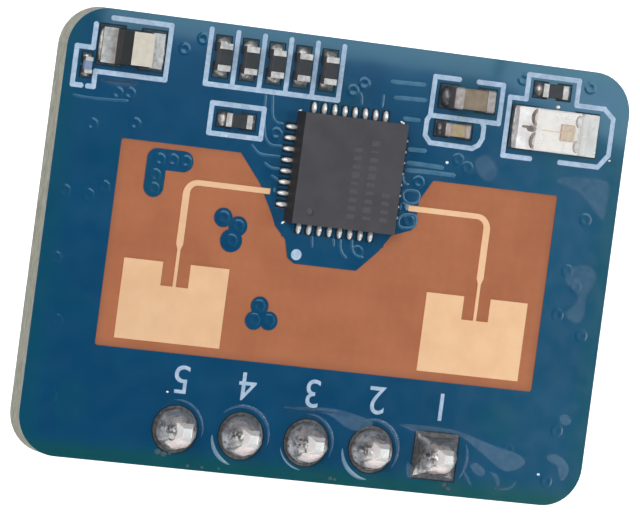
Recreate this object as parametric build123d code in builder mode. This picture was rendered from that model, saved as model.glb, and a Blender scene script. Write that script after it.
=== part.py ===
from build123d import *
from dataclasses import dataclass
import math
import os

# A small radar presence sensor: a blue circuit board with two patch antennas on its front,
# held by a five-pin header that points away from the antennas.
# All sizes are in millimetres. +Z is the way the antennas look, +X runs along the board's
# long side. The origin is the middle of the pin row, on the underside of the header strip.

# Board, and the length that the places along X are drawn for: they spread out with the board
board_length = 22.0
board_width = 16.0
drawn_length = 22.0
board_corner = 1.5
laminate_thickness = 0.94
copper_thickness = 0.035
mask_thickness = 0.03
mask_margin = 0.05
print_thickness = 0.015
land_margin = 0.05
land_end_margin = 0.03

# Header
header_pitch = 2.54
header_ways = 5
header_edge_distance = 1.4
strip_width = 2.54
strip_height = 2.54
strip_chamfer = 0.45
pin_side = 0.64
pin_below_strip = 6.0
pin_above_board = 1.35
pin_tip_length = 0.35
pin_tip_angle = 24.0
pin_hole_clearance = 0.0625
barrel_wall = 0.035
ring_width = 0.30
joint_foot_margin = 0.05
joint_neck_cover = 0.03
joint_height = 1.02
joint_belly = 0.2175
joint_belly_level = 0.45
square_joint_corner = 0.09
square_joint_waist = 0.70

# Antennas: a patch with a notch, fed by a thin line, a wide line and a bend to the chip
antenna_middle_x = 0.06
patch_distance = 5.88
patch_length = 4.03
patch_above_pins = 3.03
patch_height_ratio = 0.494
notch_width = 1.06
notch_depth = 0.85
feed_thin_width = 0.12
feed_wide_width = 0.265
feed_run_width = 0.20
feed_taper_ratio = 0.238
feed_taper_length = 0.2
feed_bend_radius = 0.43
feed_terminal = 2.5
feed_clearance = 0.02

# Window in the front mask, which leaves the antennas' laminate bare
window_left_distance = 8.52
window_right_distance = 8.57
window_below_patch = 0.33
window_above_chip_left = 0.26
window_above_chip_right = 0.10
window_corner = 0.10
field_top_left = 3.95
field_top_right = 3.6
hook_distance = 7.09
hook_below_chip = 0.32
hook_width = 0.75
hook_down = 1.0
hook_across = 1.01
dot_island_radius = 0.34

# Radar chip: a square body without legs, with a row of terminals under each side
chip_x = 0.0
chip_below_row = 3.56
chip_side = 4.0
chip_height = 0.85
chip_pitch = 0.4
chip_heat_pad = 2.7

# Outline print
stroke_width = 0.18
chip_dot_right = -1.335
chip_dot_down = 3.14
chip_dot_radius = 0.2
comb_above = 0.93
comb_below = 1.02

# Small parts of the front, by their distance from the board's edges, its middle or the chip
row_resistor_count = 5
row_resistor_pitch = 1.028
row_resistor_reach = 5.15
row_resistor_from_top = 1.20
chip_side_resistor_distance = 4.30
chip_side_resistor_above_chip = 1.37
lamp_resistor_from_right = 3.20
lamp_resistor_from_top = 0.90
supply_capacitor_distance = 4.50
supply_capacitor_from_top = 1.57
decoupling_capacitor_distance = 4.10
decoupling_capacitor_above_chip = 2.01
edge_capacitor_from_diode = 1.62
edge_capacitor_from_top = 2.09

# Status lamp
lamp_from_right = 2.94
lamp_from_top = 2.34
lamp_length = 3.2
lamp_width = 1.55
lamp_base_height = 0.36
lamp_plating = 0.03
lamp_pad_length = 0.72
lamp_notch_radius = 0.30
lamp_toe = 0.10
lamp_toe_width = 0.42
lamp_land_inset = 0.8
lens_length = 1.96
lens_height = 0.58
lens_draft = 4.0
lens_edge = 0.06
die_length = 0.50
die_width = 0.55
die_height = 0.16
die_x = 0.38

# Input diode: a flat block on two full-width tabs
diode_from_left = 2.42
diode_from_top = 1.30
diode_body_length = 1.28
diode_body_width = 1.30
diode_body_height = 0.65
diode_draft = 5.0
diode_tab_length = 0.52
diode_tab_width = 1.26
diode_tab_thickness = 0.14
diode_tab_under_body = 0.30
diode_band_length = 0.78
diode_land_width = 1.42
diode_toe = 0.10

# Microcontroller on the back
microcontroller_distance = 0.6
microcontroller_y = 2.2
microcontroller_side = 4.0
microcontroller_height = 0.75
microcontroller_pitch = 0.5
microcontroller_heat_pad = 2.6

# Regulator on the back: a block with five bent leads
regulator_distance = 7.4
regulator_y = -0.4
regulator_length = 2.9
regulator_width = 1.6
regulator_height = 1.0
regulator_stand_off = 0.05
regulator_draft = 8.0
lead_pitch = 0.95
lead_width = 0.40
lead_thickness = 0.15
lead_reach = 0.60
lead_root = 0.25
lead_foot = 0.42
lead_bend = 0.07
lead_toe = 0.12

# Crystal on the back: a ceramic tray with a welded lid
crystal_distance = 5.2
crystal_y = 1.6
crystal_length = 3.2
crystal_width = 2.5
crystal_tray_height = 0.45
crystal_lid_height = 0.22
crystal_lid_inset = 0.18
crystal_corner = 0.30
crystal_land_length = 1.1
crystal_land_width = 0.9
crystal_land_overhang = 0.10

# Heights and places that follow from the sizes above
pin_diagonal = pin_side * math.sqrt(2)
finished_hole_radius = pin_diagonal / 2 + pin_hole_clearance
drill_radius = finished_hole_radius + barrel_wall
ring_radius = drill_radius + ring_width
laminate_bottom = strip_height + copper_thickness
laminate_top = laminate_bottom + laminate_thickness
front_face = laminate_top + mask_thickness
joint_seat = laminate_top + copper_thickness
pin_top = front_face + pin_above_board
left_edge = -board_length / 2
right_edge = board_length / 2
top_edge = board_width / 2
board_middle_y = board_width / 2 - header_edge_distance
pin_row_y = -board_middle_y
first_pin_x = header_pitch * (header_ways - 1) / 2
spread = board_length / drawn_length
row_resistor_first_x = -row_resistor_reach * spread
row_resistor_step = row_resistor_pitch * spread
row_resistor_y = top_edge - row_resistor_from_top
chip_y = row_resistor_y - chip_below_row
chip_side_resistor_x = -chip_side_resistor_distance * spread
chip_side_resistor_y = chip_y + chip_side_resistor_above_chip
supply_capacitor_x = supply_capacitor_distance * spread
supply_capacitor_y = top_edge - supply_capacitor_from_top
decoupling_capacitor_x = decoupling_capacitor_distance * spread
decoupling_capacitor_y = chip_y + decoupling_capacitor_above_chip
lamp_x = right_edge - lamp_from_right * spread
lamp_y = top_edge - lamp_from_top
diode_x = left_edge + diode_from_left * spread
diode_y = top_edge - diode_from_top
microcontroller_x = microcontroller_distance * spread
regulator_x = regulator_distance * spread
crystal_x = -crystal_distance * spread
feed_run_y = chip_y - feed_terminal * chip_pitch
patch_x = antenna_middle_x - patch_distance * spread
patch_bottom_y = pin_row_y + patch_above_pins
patch_height = (feed_run_y - patch_bottom_y) * patch_height_ratio
patch_top_y = patch_bottom_y + patch_height
feed_taper_y = patch_top_y + (feed_run_y - patch_top_y) * feed_taper_ratio
window_left = -window_left_distance * spread
window_right = window_right_distance * spread
window_bottom = patch_bottom_y - window_below_patch
hook_x = -hook_distance * spread
hook_y = chip_y - hook_below_chip
lead_span = regulator_width + 2 * lead_reach

# The bare laminate of each side, seen from in front and from behind
front_laminate = Plane(origin=(0, board_middle_y, laminate_top))
back_laminate = Plane(
    origin=(0, board_middle_y, laminate_bottom), x_dir=(-1, 0, 0), z_dir=(0, 0, -1)
)


@dataclass(frozen=True)
class ChipPart:
    """A small block with a metal end on each side, such as a resistor or a capacitor."""

    length: float
    width: float
    height: float
    band: float
    coat: float
    side_coat: float
    edge: float
    toe: float
    glaze: float = 0.0

    @property
    def land_inner(self):
        """Distance from the part's middle to the near edge of its lands."""
        return self.length / 2 - self.band - land_margin

    @property
    def land_outer(self):
        """Distance from the part's middle to the far edge of its lands."""
        return self.length / 2 + self.toe + land_end_margin

    @property
    def land_width(self):
        """Width of each land."""
        return self.width + land_margin


@dataclass(frozen=True)
class NoLeadChip:
    """A square moulded chip with rows of terminals under its four sides and a heat pad."""

    side: float
    height: float
    pitch: float
    per_side: int
    heat_pad: float
    terminal_length: float
    terminal_width: float
    terminal_height: float
    toe: float
    dot_x: float
    dot_y: float
    dot_radius: float = 0.13
    dot_depth: float = 0.02

    @property
    def land_length(self):
        """Length of a land: under the terminal and on to the end of the solder."""
        return self.terminal_length + self.toe

    @property
    def land_radius(self):
        """Distance from the chip's middle to the middle of a land."""
        return self.side / 2 - self.terminal_length + self.land_length / 2


@dataclass(frozen=True)
class Placed:
    """A small part with its name, its place on one side of the board and its turn."""

    name: str
    kind: ChipPart
    x: float
    y: float
    turn: float = 0.0

    @property
    def spot(self):
        """Place and turn in the plane of the board."""
        return Location((self.x, self.y, 0), (0, 0, self.turn))


resistor_0402 = ChipPart(
    length=1.0, width=0.5, height=0.35, band=0.22, coat=0.02, side_coat=0.0, edge=0.0, toe=0.20, glaze=0.02
)
capacitor_0402 = ChipPart(
    length=1.0, width=0.5, height=0.5, band=0.22, coat=0.02, side_coat=0.02, edge=0.035, toe=0.20
)
capacitor_0603 = ChipPart(
    length=1.6, width=0.8, height=0.8, band=0.34, coat=0.025, side_coat=0.025, edge=0.05, toe=0.27
)
capacitor_0201 = ChipPart(
    length=0.6, width=0.3, height=0.3, band=0.15, coat=0.015, side_coat=0.015, edge=0.02, toe=0.10
)
radar_chip = NoLeadChip(
    side=chip_side,
    height=chip_height,
    pitch=chip_pitch,
    per_side=8,
    heat_pad=chip_heat_pad,
    terminal_length=0.38,
    terminal_width=0.20,
    terminal_height=0.20,
    toe=0.35,
    dot_x=-1.35,
    dot_y=-1.56,
)
microcontroller = NoLeadChip(
    side=microcontroller_side,
    height=microcontroller_height,
    pitch=microcontroller_pitch,
    per_side=6,
    heat_pad=microcontroller_heat_pad,
    terminal_length=0.40,
    terminal_width=0.25,
    terminal_height=0.20,
    toe=0.28,
    dot_x=-1.5,
    dot_y=1.5,
)

row_resistor_xs = [row_resistor_first_x + n * row_resistor_step for n in range(row_resistor_count)]
front_parts = [
    Placed(f"row_resistor_{n}", resistor_0402, x, row_resistor_y, 90)
    for n, x in enumerate(row_resistor_xs, start=1)
]
front_parts += [
    Placed("chip_side_resistor", resistor_0402, chip_side_resistor_x, chip_side_resistor_y),
    Placed(
        "lamp_resistor",
        resistor_0402,
        right_edge - lamp_resistor_from_right * spread,
        top_edge - lamp_resistor_from_top,
    ),
    Placed("supply_capacitor", capacitor_0603, supply_capacitor_x, supply_capacitor_y),
    Placed("decoupling_capacitor", capacitor_0402, decoupling_capacitor_x, decoupling_capacitor_y),
    Placed(
        "edge_capacitor",
        capacitor_0201,
        diode_x - edge_capacitor_from_diode,
        top_edge - edge_capacitor_from_top,
        90,
    ),
]
back_parts = [
    Placed("reset_capacitor", capacitor_0402, -0.6 * spread, 6.0),
    Placed("clock_supply_capacitor", capacitor_0402, 1.4 * spread, 6.0),
    Placed("core_capacitor", capacitor_0402, -3.2 * spread, 4.6, 90),
    Placed("flash_capacitor", capacitor_0402, 3.6 * spread, -2.6, 90),
    Placed("crystal_capacitor_a", capacitor_0402, -7.9 * spread, 2.6, 90),
    Placed("crystal_capacitor_b", capacitor_0402, -7.9 * spread, 0.6, 90),
    Placed("regulator_output_capacitor", capacitor_0603, 7.4 * spread, 3.2),
    Placed("regulator_input_capacitor", capacitor_0603, 7.4 * spread, -3.6),
]


def save_piece(piece, name):
    """Label a finished piece and write it to the parts folder."""
    piece.part.label = name
    export_step(piece.part, f"parts/{name}.step")


def seat_on(face, x, y, turn=0.0):
    """Plane of the copper's top at a place on one side of the board."""
    return Plane(face.offset(copper_thickness).location * Location((x, y, 0), (0, 0, turn)))


def seat_of(face, placed):
    """Plane of the copper's top under a small part."""
    return seat_on(face, placed.x, placed.y, placed.turn)


def solder_toe(reach, climb, width):
    """A wedge of solder that climbs a metal end, with a hollow sloping face."""
    rim = climb * 0.08
    hollow = (reach * 0.34, climb * 0.36)
    with BuildPart() as toe:
        with BuildSketch(Plane.XZ):
            with BuildLine():
                Polyline((reach, rim), (reach, 0), (0, 0), (0, climb), hollow, close=True)
            make_face()
        extrude(amount=width / 2, both=True)
    return toe.part


def chip_part(kind, seat):
    """Body and ends of one small part, standing on its lands."""
    with BuildPart() as body:
        with BuildSketch(seat.offset(kind.coat)):
            Rectangle(kind.length - 2 * kind.coat, kind.width - 2 * kind.side_coat)
        extrude(amount=kind.height - 2 * kind.coat)
        if kind.edge > 0:
            chamfer(body.edges(), length=kind.edge)
        if kind.glaze > 0:
            with BuildSketch(seat.offset(kind.height - kind.coat)):
                Rectangle(kind.length - 2 * kind.band - kind.glaze, kind.width - 2 * kind.glaze)
            extrude(amount=kind.coat + kind.glaze)
    with BuildPart() as ends:
        with BuildSketch(seat):
            Rectangle(kind.length, kind.width)
        extrude(amount=kind.height)
        if kind.edge > 0:
            chamfer(ends.edges(), length=kind.edge)
        with BuildSketch(seat):
            Rectangle(kind.length - 2 * kind.band, kind.width)
        extrude(amount=kind.height, mode=Mode.SUBTRACT)
        add(body.part, mode=Mode.SUBTRACT)
    return body, ends


def part_lands(kind, margin=0.0):
    """The two copper lands of a small part, in the sketch that is open."""
    reach = kind.land_outer - kind.land_inner
    with GridLocations(kind.land_outer + kind.land_inner, 0, 2, 1):
        Rectangle(reach + 2 * margin, kind.land_width + 2 * margin)


def chip_lands(chip, margin=0.0):
    """All lands of a chip without legs, in the sketch that is open."""
    with PolarLocations(chip.land_radius, 4):
        with GridLocations(0, chip.pitch, 1, chip.per_side):
            Rectangle(chip.land_length + 2 * margin, chip.terminal_width + 2 * margin)
    Rectangle(chip.heat_pad + 2 * margin, chip.heat_pad + 2 * margin)


def no_lead_chip(chip, seat):
    """Body and terminals of a chip without legs, standing on its lands."""
    with BuildPart() as terminals:
        with BuildSketch(seat):
            with PolarLocations(chip.side / 2 - chip.terminal_length / 2, 4):
                with GridLocations(0, chip.pitch, 1, chip.per_side):
                    Rectangle(chip.terminal_length, chip.terminal_width)
            Rectangle(chip.heat_pad, chip.heat_pad)
        extrude(amount=chip.terminal_height)
    with BuildPart() as body:
        with BuildSketch(seat):
            Rectangle(chip.side, chip.side)
        extrude(amount=chip.height)
        add(terminals.part, mode=Mode.SUBTRACT)
        with BuildSketch(seat.offset(chip.height - chip.dot_depth)):
            with Locations((chip.dot_x, chip.dot_y)):
                Circle(chip.dot_radius)
        extrude(amount=chip.dot_depth, mode=Mode.SUBTRACT)
    return body, terminals


def chip_solder(chip, seat):
    """One wedge of solder against each terminal of a chip without legs."""
    toe = solder_toe(chip.toe, chip.terminal_height, chip.terminal_width)
    with Locations(seat.location):
        with PolarLocations(chip.side / 2, 4):
            with GridLocations(0, chip.pitch, 1, chip.per_side):
                add(toe)


def part_solder(kind, seat):
    """A wedge of solder at each end of a small part."""
    toe = solder_toe(kind.toe, kind.height * 0.7, kind.width * 0.96)
    with Locations(seat.location):
        with PolarLocations(kind.length / 2, 2):
            add(toe)


def lamp_lands(margin=0.0):
    """The two lands of the status lamp, in the sketch that is open."""
    inner = lamp_length / 2 - lamp_land_inset
    outer = lamp_length / 2 + lamp_toe + land_end_margin
    with GridLocations(inner + outer, 0, 2, 1):
        Rectangle(outer - inner + 2 * margin, lamp_width + 2 * margin)


def diode_lands(margin=0.0):
    """The two lands of the input diode, in the sketch that is open."""
    inner = diode_body_length / 2 - diode_tab_under_body
    outer = diode_body_length / 2 + diode_tab_length + diode_toe
    with GridLocations(inner + outer, 0, 2, 1):
        Rectangle(outer - inner + 2 * margin, diode_land_width + 2 * margin)


def crystal_lands(margin=0.0):
    """The four lands of the crystal, in the sketch that is open."""
    across = crystal_length + 2 * crystal_land_overhang - crystal_land_length
    along = crystal_width + 2 * crystal_land_overhang - crystal_land_width
    with GridLocations(across, along, 2, 2):
        Rectangle(crystal_land_length + 2 * margin, crystal_land_width + 2 * margin)


def lead_places():
    """Place and outward turn of each of the regulator's leads: three on one side, two on the other."""
    near = [Location((0, n * lead_pitch, 0)) for n in (-1, 0, 1)]
    far = [Location((0, n * lead_pitch, 0), (0, 0, 180)) for n in (-1, 1)]
    return near + far


def regulator_lands(margin=0.0):
    """The five lands of the regulator, in the sketch that is open."""
    length = lead_foot + lead_toe + land_end_margin
    middle = lead_span / 2 - lead_foot + length / 2
    with Locations(*lead_places()):
        with Locations((middle, 0)):
            Rectangle(length + 2 * margin, lead_width + land_margin + 2 * margin)


def board_outline():
    """The board's rounded outline, in the sketch that is open."""
    RectangleRounded(board_length, board_width, board_corner)


def header_rings(side, margin=0.0):
    """The rings round the header holes, the first one square; side is -1 from behind."""
    with Locations((0, pin_row_y)):
        with GridLocations(header_pitch, 0, header_ways, 1):
            Circle(ring_radius + margin)
        with Locations((side * first_pin_x, 0)):
            Rectangle(2 * ring_radius + 2 * margin, 2 * ring_radius + 2 * margin)


def header_holes(radius, mode=Mode.ADD):
    """One circle at each pin of the header, in the sketch that is open."""
    with Locations((0, pin_row_y)):
        with GridLocations(header_pitch, 0, header_ways, 1):
            Circle(radius, mode=mode)


def shifted(x, y, points):
    """Points given from a part's middle, moved to the part's place."""
    return [(x + px, y + py) for px, py in points]


def window_corners():
    """Corners of the antenna window: a wide rectangle that the chip's blue field runs into."""
    left_flank = shifted(chip_x, chip_y, [(-3.05, -0.79), (-2.46, -1.83), (-2.28, -2.21)])
    foot = [(-1.82, -2.66), (-1.66, -3.29), (-1.38, -3.47), (1.05, -3.47), (1.82, -2.69)]
    right_flank = [(2.25, -2.06), (3.0, -1.78), (3.13, -1.52), (3.14, -0.69)]
    left_top_y = chip_y + window_above_chip_left
    right_top_y = chip_y + window_above_chip_right
    return [
        (window_left, window_bottom),
        (window_left, left_top_y),
        (chip_x - field_top_left, left_top_y),
        *left_flank,
        *shifted(chip_x, chip_y, foot + right_flank),
        (chip_x + field_top_right, right_top_y),
        (window_right, right_top_y),
        (window_right, window_bottom),
    ]


def stroke(start, end, width):
    """A straight printed stroke with blunted ends, in the sketch that is open."""
    run = math.dist(start, end)
    turn = math.degrees(math.atan2(end[1] - start[1], end[0] - start[0]))
    with Locations(((start[0] + end[0]) / 2, (start[1] + end[1]) / 2)):
        Rectangle(run, width, rotation=turn)
    with Locations(start, end):
        RegularPolygon(width / 2, 8, major_radius=False, rotation=turn)


def via_islands():
    """Three blue islands inside the window, each over a group of filled vias."""
    with Locations((hook_x + hook_across / 2, hook_y)):
        SlotCenterToCenter(hook_across, hook_width)
    with Locations((hook_x, hook_y - hook_down / 2)):
        SlotCenterToCenter(hook_down, hook_width, rotation=90)
    for right, down, radius in ((1.52, 1.12, 0.35), (2.12, 1.37, 0.36), (1.93, 1.91, 0.42)):
        with Locations((patch_x + right, feed_run_y - down)):
            Circle(radius)
    with Locations(*shifted(chip_x, chip_y, [(-2.47, -5.12), (-2.62, -5.66), (-2.05, -5.62)])):
        Circle(dot_island_radius)


def patch_antenna():
    """Left patch with its notch, its thin and wide feed lines and the bend to the chip."""
    x = patch_x
    thin = feed_thin_width / 2
    wide = feed_wide_width / 2
    run = feed_run_width / 2
    outer = feed_bend_radius + wide
    inner = feed_bend_radius - wide
    run_end_x = chip_x - chip_side / 2 - radar_chip.toe - feed_clearance
    with BuildPart() as antenna:
        with BuildSketch(front_laminate):
            with Locations((x, patch_bottom_y + patch_height / 2)):
                Rectangle(patch_length, patch_height)
            with Locations((x, patch_top_y - notch_depth / 2)):
                Rectangle(notch_width, notch_depth, mode=Mode.SUBTRACT)
            with BuildLine():
                Polyline(
                    (x + feed_bend_radius, feed_run_y + run),
                    (run_end_x, feed_run_y + run),
                    (run_end_x, feed_run_y - run),
                    (x + feed_bend_radius, feed_run_y - run),
                )
                TangentArc(
                    (x + feed_bend_radius, feed_run_y - run),
                    (x + wide, feed_run_y - run - inner),
                    tangent=(-1, 0),
                )
                Polyline(
                    (x + wide, feed_run_y - run - inner),
                    (x + wide, feed_taper_y),
                    (x + thin, feed_taper_y - feed_taper_length),
                    (x + thin, patch_top_y - notch_depth),
                    (x - thin, patch_top_y - notch_depth),
                    (x - thin, feed_taper_y - feed_taper_length),
                    (x - wide, feed_taper_y),
                    (x - wide, feed_run_y + run - outer),
                )
                TangentArc(
                    (x - wide, feed_run_y + run - outer),
                    (x + feed_bend_radius, feed_run_y + run),
                    tangent=(0, 1),
                )
            make_face()
        extrude(amount=copper_thickness)
    return antenna.part


def feed_slots():
    """Slots in the mask that bare the last length of each feed line, in the open sketch."""
    start = chip_side / 2 + radar_chip.toe
    end = patch_distance - feed_bend_radius
    for side in (-1, 1):
        with Locations((chip_x + side * (start + end) / 2, feed_run_y)):
            Rectangle(end - start, feed_run_width + 2 * feed_clearance)


def gull_lead():
    """One bent lead: out of the body's side, down, and flat along its land."""
    height = regulator_stand_off + regulator_height / 2
    knee = lead_span / 2 - lead_foot
    with BuildPart() as lead:
        with BuildSketch(Plane.XZ):
            with BuildLine() as path:
                Polyline(
                    (regulator_width / 2 - lead_root, height),
                    (knee - lead_bend, height),
                    (knee, height - lead_bend),
                    (knee, lead_thickness / 2 + lead_bend),
                    (knee + lead_bend, lead_thickness / 2),
                    (lead_span / 2, lead_thickness / 2),
                )
            trace(path.line, line_width=lead_thickness)
        extrude(amount=lead_width / 2, both=True)
    return lead.part


os.makedirs("parts", exist_ok=True)

# Laminate with its five drilled holes
with BuildPart() as circuit_board:
    with BuildSketch(front_laminate):
        board_outline()
        header_holes(drill_radius, mode=Mode.SUBTRACT)
    extrude(amount=-laminate_thickness)
save_piece(circuit_board, "circuit_board")

# Plated barrels: a ring on each face, joined through the drilled hole
with BuildPart() as hole_plating:
    for face, side in ((front_laminate, 1), (back_laminate, -1)):
        with BuildSketch(face):
            header_rings(side)
            header_holes(finished_hole_radius, mode=Mode.SUBTRACT)
        extrude(amount=copper_thickness)
    with BuildSketch(front_laminate):
        header_holes(drill_radius)
        header_holes(finished_hole_radius, mode=Mode.SUBTRACT)
    extrude(amount=-laminate_thickness)
save_piece(hole_plating, "header_hole_plating")

# The two antennas, mirror images of each other
with BuildPart() as left_antenna:
    add(patch_antenna())
save_piece(left_antenna, "left_patch_antenna")
with BuildPart() as right_antenna:
    mirror(left_antenna.part, about=Plane.YZ.offset(antenna_middle_x))
save_piece(right_antenna, "right_patch_antenna")

# Openings in the front mask over everything that is soldered
with BuildSketch() as front_openings:
    header_rings(1, mask_margin)
    feed_slots()
    with Locations((chip_x, chip_y)):
        chip_lands(radar_chip, mask_margin)
    for placed in front_parts:
        with Locations(placed.spot):
            part_lands(placed.kind, mask_margin)
    with Locations((lamp_x, lamp_y)):
        lamp_lands(mask_margin)
    with Locations((diode_x, diode_y)):
        diode_lands(mask_margin)

# Front mask: one blue film with the antenna window, and three islands of it in the window
with BuildPart() as front_mask:
    with BuildSketch(front_laminate):
        board_outline()
        with BuildLine():
            FilletPolyline(*window_corners(), radius=window_corner, close=True)
        make_face(mode=Mode.SUBTRACT)
        via_islands()
        add(front_openings.sketch, mode=Mode.SUBTRACT)
    extrude(amount=mask_thickness)
    add([left_antenna.part, right_antenna.part], mode=Mode.SUBTRACT)
save_piece(front_mask, "front_solder_mask")

# Lands of the front parts
with BuildPart() as front_lands:
    with BuildSketch(front_laminate):
        with Locations((chip_x, chip_y)):
            chip_lands(radar_chip)
        for placed in front_parts:
            with Locations(placed.spot):
                part_lands(placed.kind)
        with Locations((lamp_x, lamp_y)):
            lamp_lands()
        with Locations((diode_x, diode_y)):
            diode_lands()
    extrude(amount=copper_thickness)
save_piece(front_lands, "front_lands")

# Outline print on the mask: a frame round each group of parts and a dot at the radar chip
diode_frame = [(1.39, 0.97), (1.39, -0.98), (-1.25, -0.98), (-1.25, -1.53), (-1.47, -1.53)]
edge_frame = [(-1.72, -1.53), (-2.05, -1.53), (-2.05, -0.16), (-1.44, -0.16), (-1.44, 0.68)]
resistor_frame = [(-0.99, -0.55), (1.015, -0.55), (1.015, 0.53), (-0.99, 0.53), (-0.99, -0.55)]
capacitor_frame = [(-0.41, 0.66), (-1.36, 0.66), (-1.37, -0.75), (-1.47, -0.93), (-1.47, -1.49)]
capacitor_loop = [(-1.47, -1.49), (-1.24, -1.74), (0.44, -1.76), (0.67, -1.61), (0.79, -1.35)]
capacitor_right = [(0.36, 0.66), (1.35, 0.66), (1.35, -0.75), (-1.37, -0.75)]
lamp_frame = [(-0.80, -1.10), (-1.89, -1.10), (-1.89, 1.04), (-1.25, 1.04), (-1.25, 1.94), (0.77, 1.94)]
lamp_corner = [(0.77, 1.94), (0.77, 1.04), (1.91, 1.04), (2.31, 0.71), (2.31, -0.63), (1.94, -1.10)]
comb_bottom = row_resistor_y - comb_below
comb_top = row_resistor_y + comb_above
comb_left = row_resistor_first_x - row_resistor_step / 2
comb_xs = [comb_left + n * row_resistor_step for n in range(row_resistor_count + 1)]
frame_strokes = [
    shifted(diode_x, diode_y, [(-0.82, 0.97)] + diode_frame),
    shifted(diode_x, diode_y, edge_frame),
    shifted(chip_side_resistor_x, chip_side_resistor_y, resistor_frame),
    shifted(supply_capacitor_x, supply_capacitor_y, capacitor_frame),
    shifted(supply_capacitor_x, supply_capacitor_y, capacitor_loop + [(0.79, -0.95), (0.68, -0.75)]),
    shifted(supply_capacitor_x, supply_capacitor_y, capacitor_right),
    shifted(lamp_x, lamp_y, lamp_frame),
    shifted(lamp_x, lamp_y, lamp_corner + [(0.40, -1.10)]),
    [(comb_xs[0], comb_bottom), (comb_xs[-1], comb_bottom)],
]
frame_strokes += [[(x, comb_bottom), (x, comb_top)] for x in comb_xs]
with BuildPart() as front_legend:
    with BuildSketch(front_laminate.offset(mask_thickness)):
        for points in frame_strokes:
            for start, end in zip(points, points[1:]):
                stroke(start, end, stroke_width)
        with Locations((chip_x + chip_dot_right, chip_y - chip_dot_down)):
            Circle(chip_dot_radius)
    extrude(amount=print_thickness)
save_piece(front_legend, "front_legend")

# Header strip: five notched cells of plastic in one moulding, with a square hole at each pin
with BuildSketch() as strip_cell:
    Rectangle(header_pitch, strip_width)
    chamfer(strip_cell.vertices(), length=strip_chamfer)
with BuildPart() as header_strip:
    with BuildSketch():
        with GridLocations(header_pitch, 0, header_ways, 1):
            add(strip_cell.sketch)
            Rectangle(pin_side, pin_side, mode=Mode.SUBTRACT)
    extrude(amount=strip_height)
save_piece(header_strip, "header_strip")

# Square pins with pointed ends, pressed through the strip
with BuildPart() as header_pin:
    with BuildSketch(Plane.XY.offset(pin_tip_length - pin_below_strip)):
        Rectangle(pin_side, pin_side)
    extrude(amount=pin_top + pin_below_strip - 2 * pin_tip_length)
    for end_face in (header_pin.faces().sort_by(Axis.Z)[-1], header_pin.faces().sort_by(Axis.Z)[0]):
        extrude(end_face, amount=pin_tip_length, taper=pin_tip_angle)

# Soldered joints: the barrel is filled, and the solder climbs the pin with a full side
joint_foot = ring_radius - joint_foot_margin
joint_neck = pin_diagonal / 2 + joint_neck_cover
joint_middle_z = joint_seat + joint_height * joint_belly_level
with BuildPart() as round_joint:
    with BuildSketch(Plane.XZ):
        with BuildLine():
            foot = (joint_foot, joint_seat)
            neck = (joint_neck, joint_seat + joint_height)
            Polyline(neck, (0, neck[1]), (0, strip_height), (finished_hole_radius, strip_height))
            Polyline((finished_hole_radius, strip_height), (finished_hole_radius, joint_seat), foot)
            ThreePointArc(foot, (joint_neck + joint_belly, joint_middle_z), neck)
        make_face()
    revolve(axis=Axis.Z)
    add(header_pin.part, mode=Mode.SUBTRACT)

# The first pin's ring is square, and its solder runs out to the four corners
with BuildPart() as square_joint:
    with BuildSketch(Plane.XY.offset(joint_seat)):
        RectangleRounded(2 * joint_foot, 2 * joint_foot, square_joint_corner)
    with BuildSketch(Plane.XY.offset(joint_middle_z)):
        RectangleRounded(2 * square_joint_waist, 2 * square_joint_waist, square_joint_waist / 2)
    with BuildSketch(Plane.XY.offset(joint_seat + joint_height)):
        RectangleRounded(2 * joint_neck, 2 * joint_neck, joint_neck * 0.95)
    loft()
    with BuildSketch(Plane.XY.offset(strip_height)):
        Circle(finished_hole_radius)
    extrude(amount=joint_seat - strip_height)
    add(header_pin.part, mode=Mode.SUBTRACT)

for n in range(header_ways):
    place = Location((first_pin_x - n * header_pitch, 0, 0))
    with BuildPart() as placed_pin:
        add(header_pin.part.moved(place))
    save_piece(placed_pin, f"header_pin_{n + 1}")
    with BuildPart() as placed_joint:
        add((square_joint if n == 0 else round_joint).part.moved(place))
    save_piece(placed_joint, f"solder_joint_{n + 1}")

# Radar chip with its terminals
chip_body, chip_terminals = no_lead_chip(radar_chip, seat_on(front_laminate, chip_x, chip_y))
save_piece(chip_body, "radar_chip_body")
save_piece(chip_terminals, "radar_chip_terminals")
with BuildPart() as chip_toes:
    chip_solder(radar_chip, seat_on(front_laminate, chip_x, chip_y))
save_piece(chip_toes, "radar_chip_solder")

# Small front parts
for placed in front_parts:
    body, ends = chip_part(placed.kind, seat_of(front_laminate, placed))
    save_piece(body, f"{placed.name}_body")
    save_piece(ends, f"{placed.name}_ends")

# Input diode: a moulded block on two flat tabs, with a pale band printed across it
diode_seat = seat_on(front_laminate, diode_x, diode_y)
with BuildPart() as diode_tabs:
    with BuildSketch(diode_seat):
        tab_reach = diode_tab_length + diode_tab_under_body
        with GridLocations(diode_body_length + 2 * diode_tab_length - tab_reach, 0, 2, 1):
            Rectangle(tab_reach, diode_tab_width)
    extrude(amount=diode_tab_thickness)
with BuildPart() as diode_body:
    with BuildSketch(diode_seat):
        Rectangle(diode_body_length, diode_body_width)
    extrude(amount=diode_body_height, taper=diode_draft)
    add(diode_tabs.part, mode=Mode.SUBTRACT)
with BuildPart() as diode_band:
    with BuildSketch(diode_seat.offset(diode_body_height)):
        shrink = diode_body_height * math.tan(math.radians(diode_draft))
        with Locations((diode_body_length / 2 - shrink - diode_band_length / 2, 0)):
            Rectangle(diode_band_length, diode_body_width - 2 * shrink)
    extrude(amount=print_thickness)
save_piece(diode_tabs, "input_diode_tabs")
save_piece(diode_body, "input_diode_body")
save_piece(diode_band, "input_diode_band")

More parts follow.
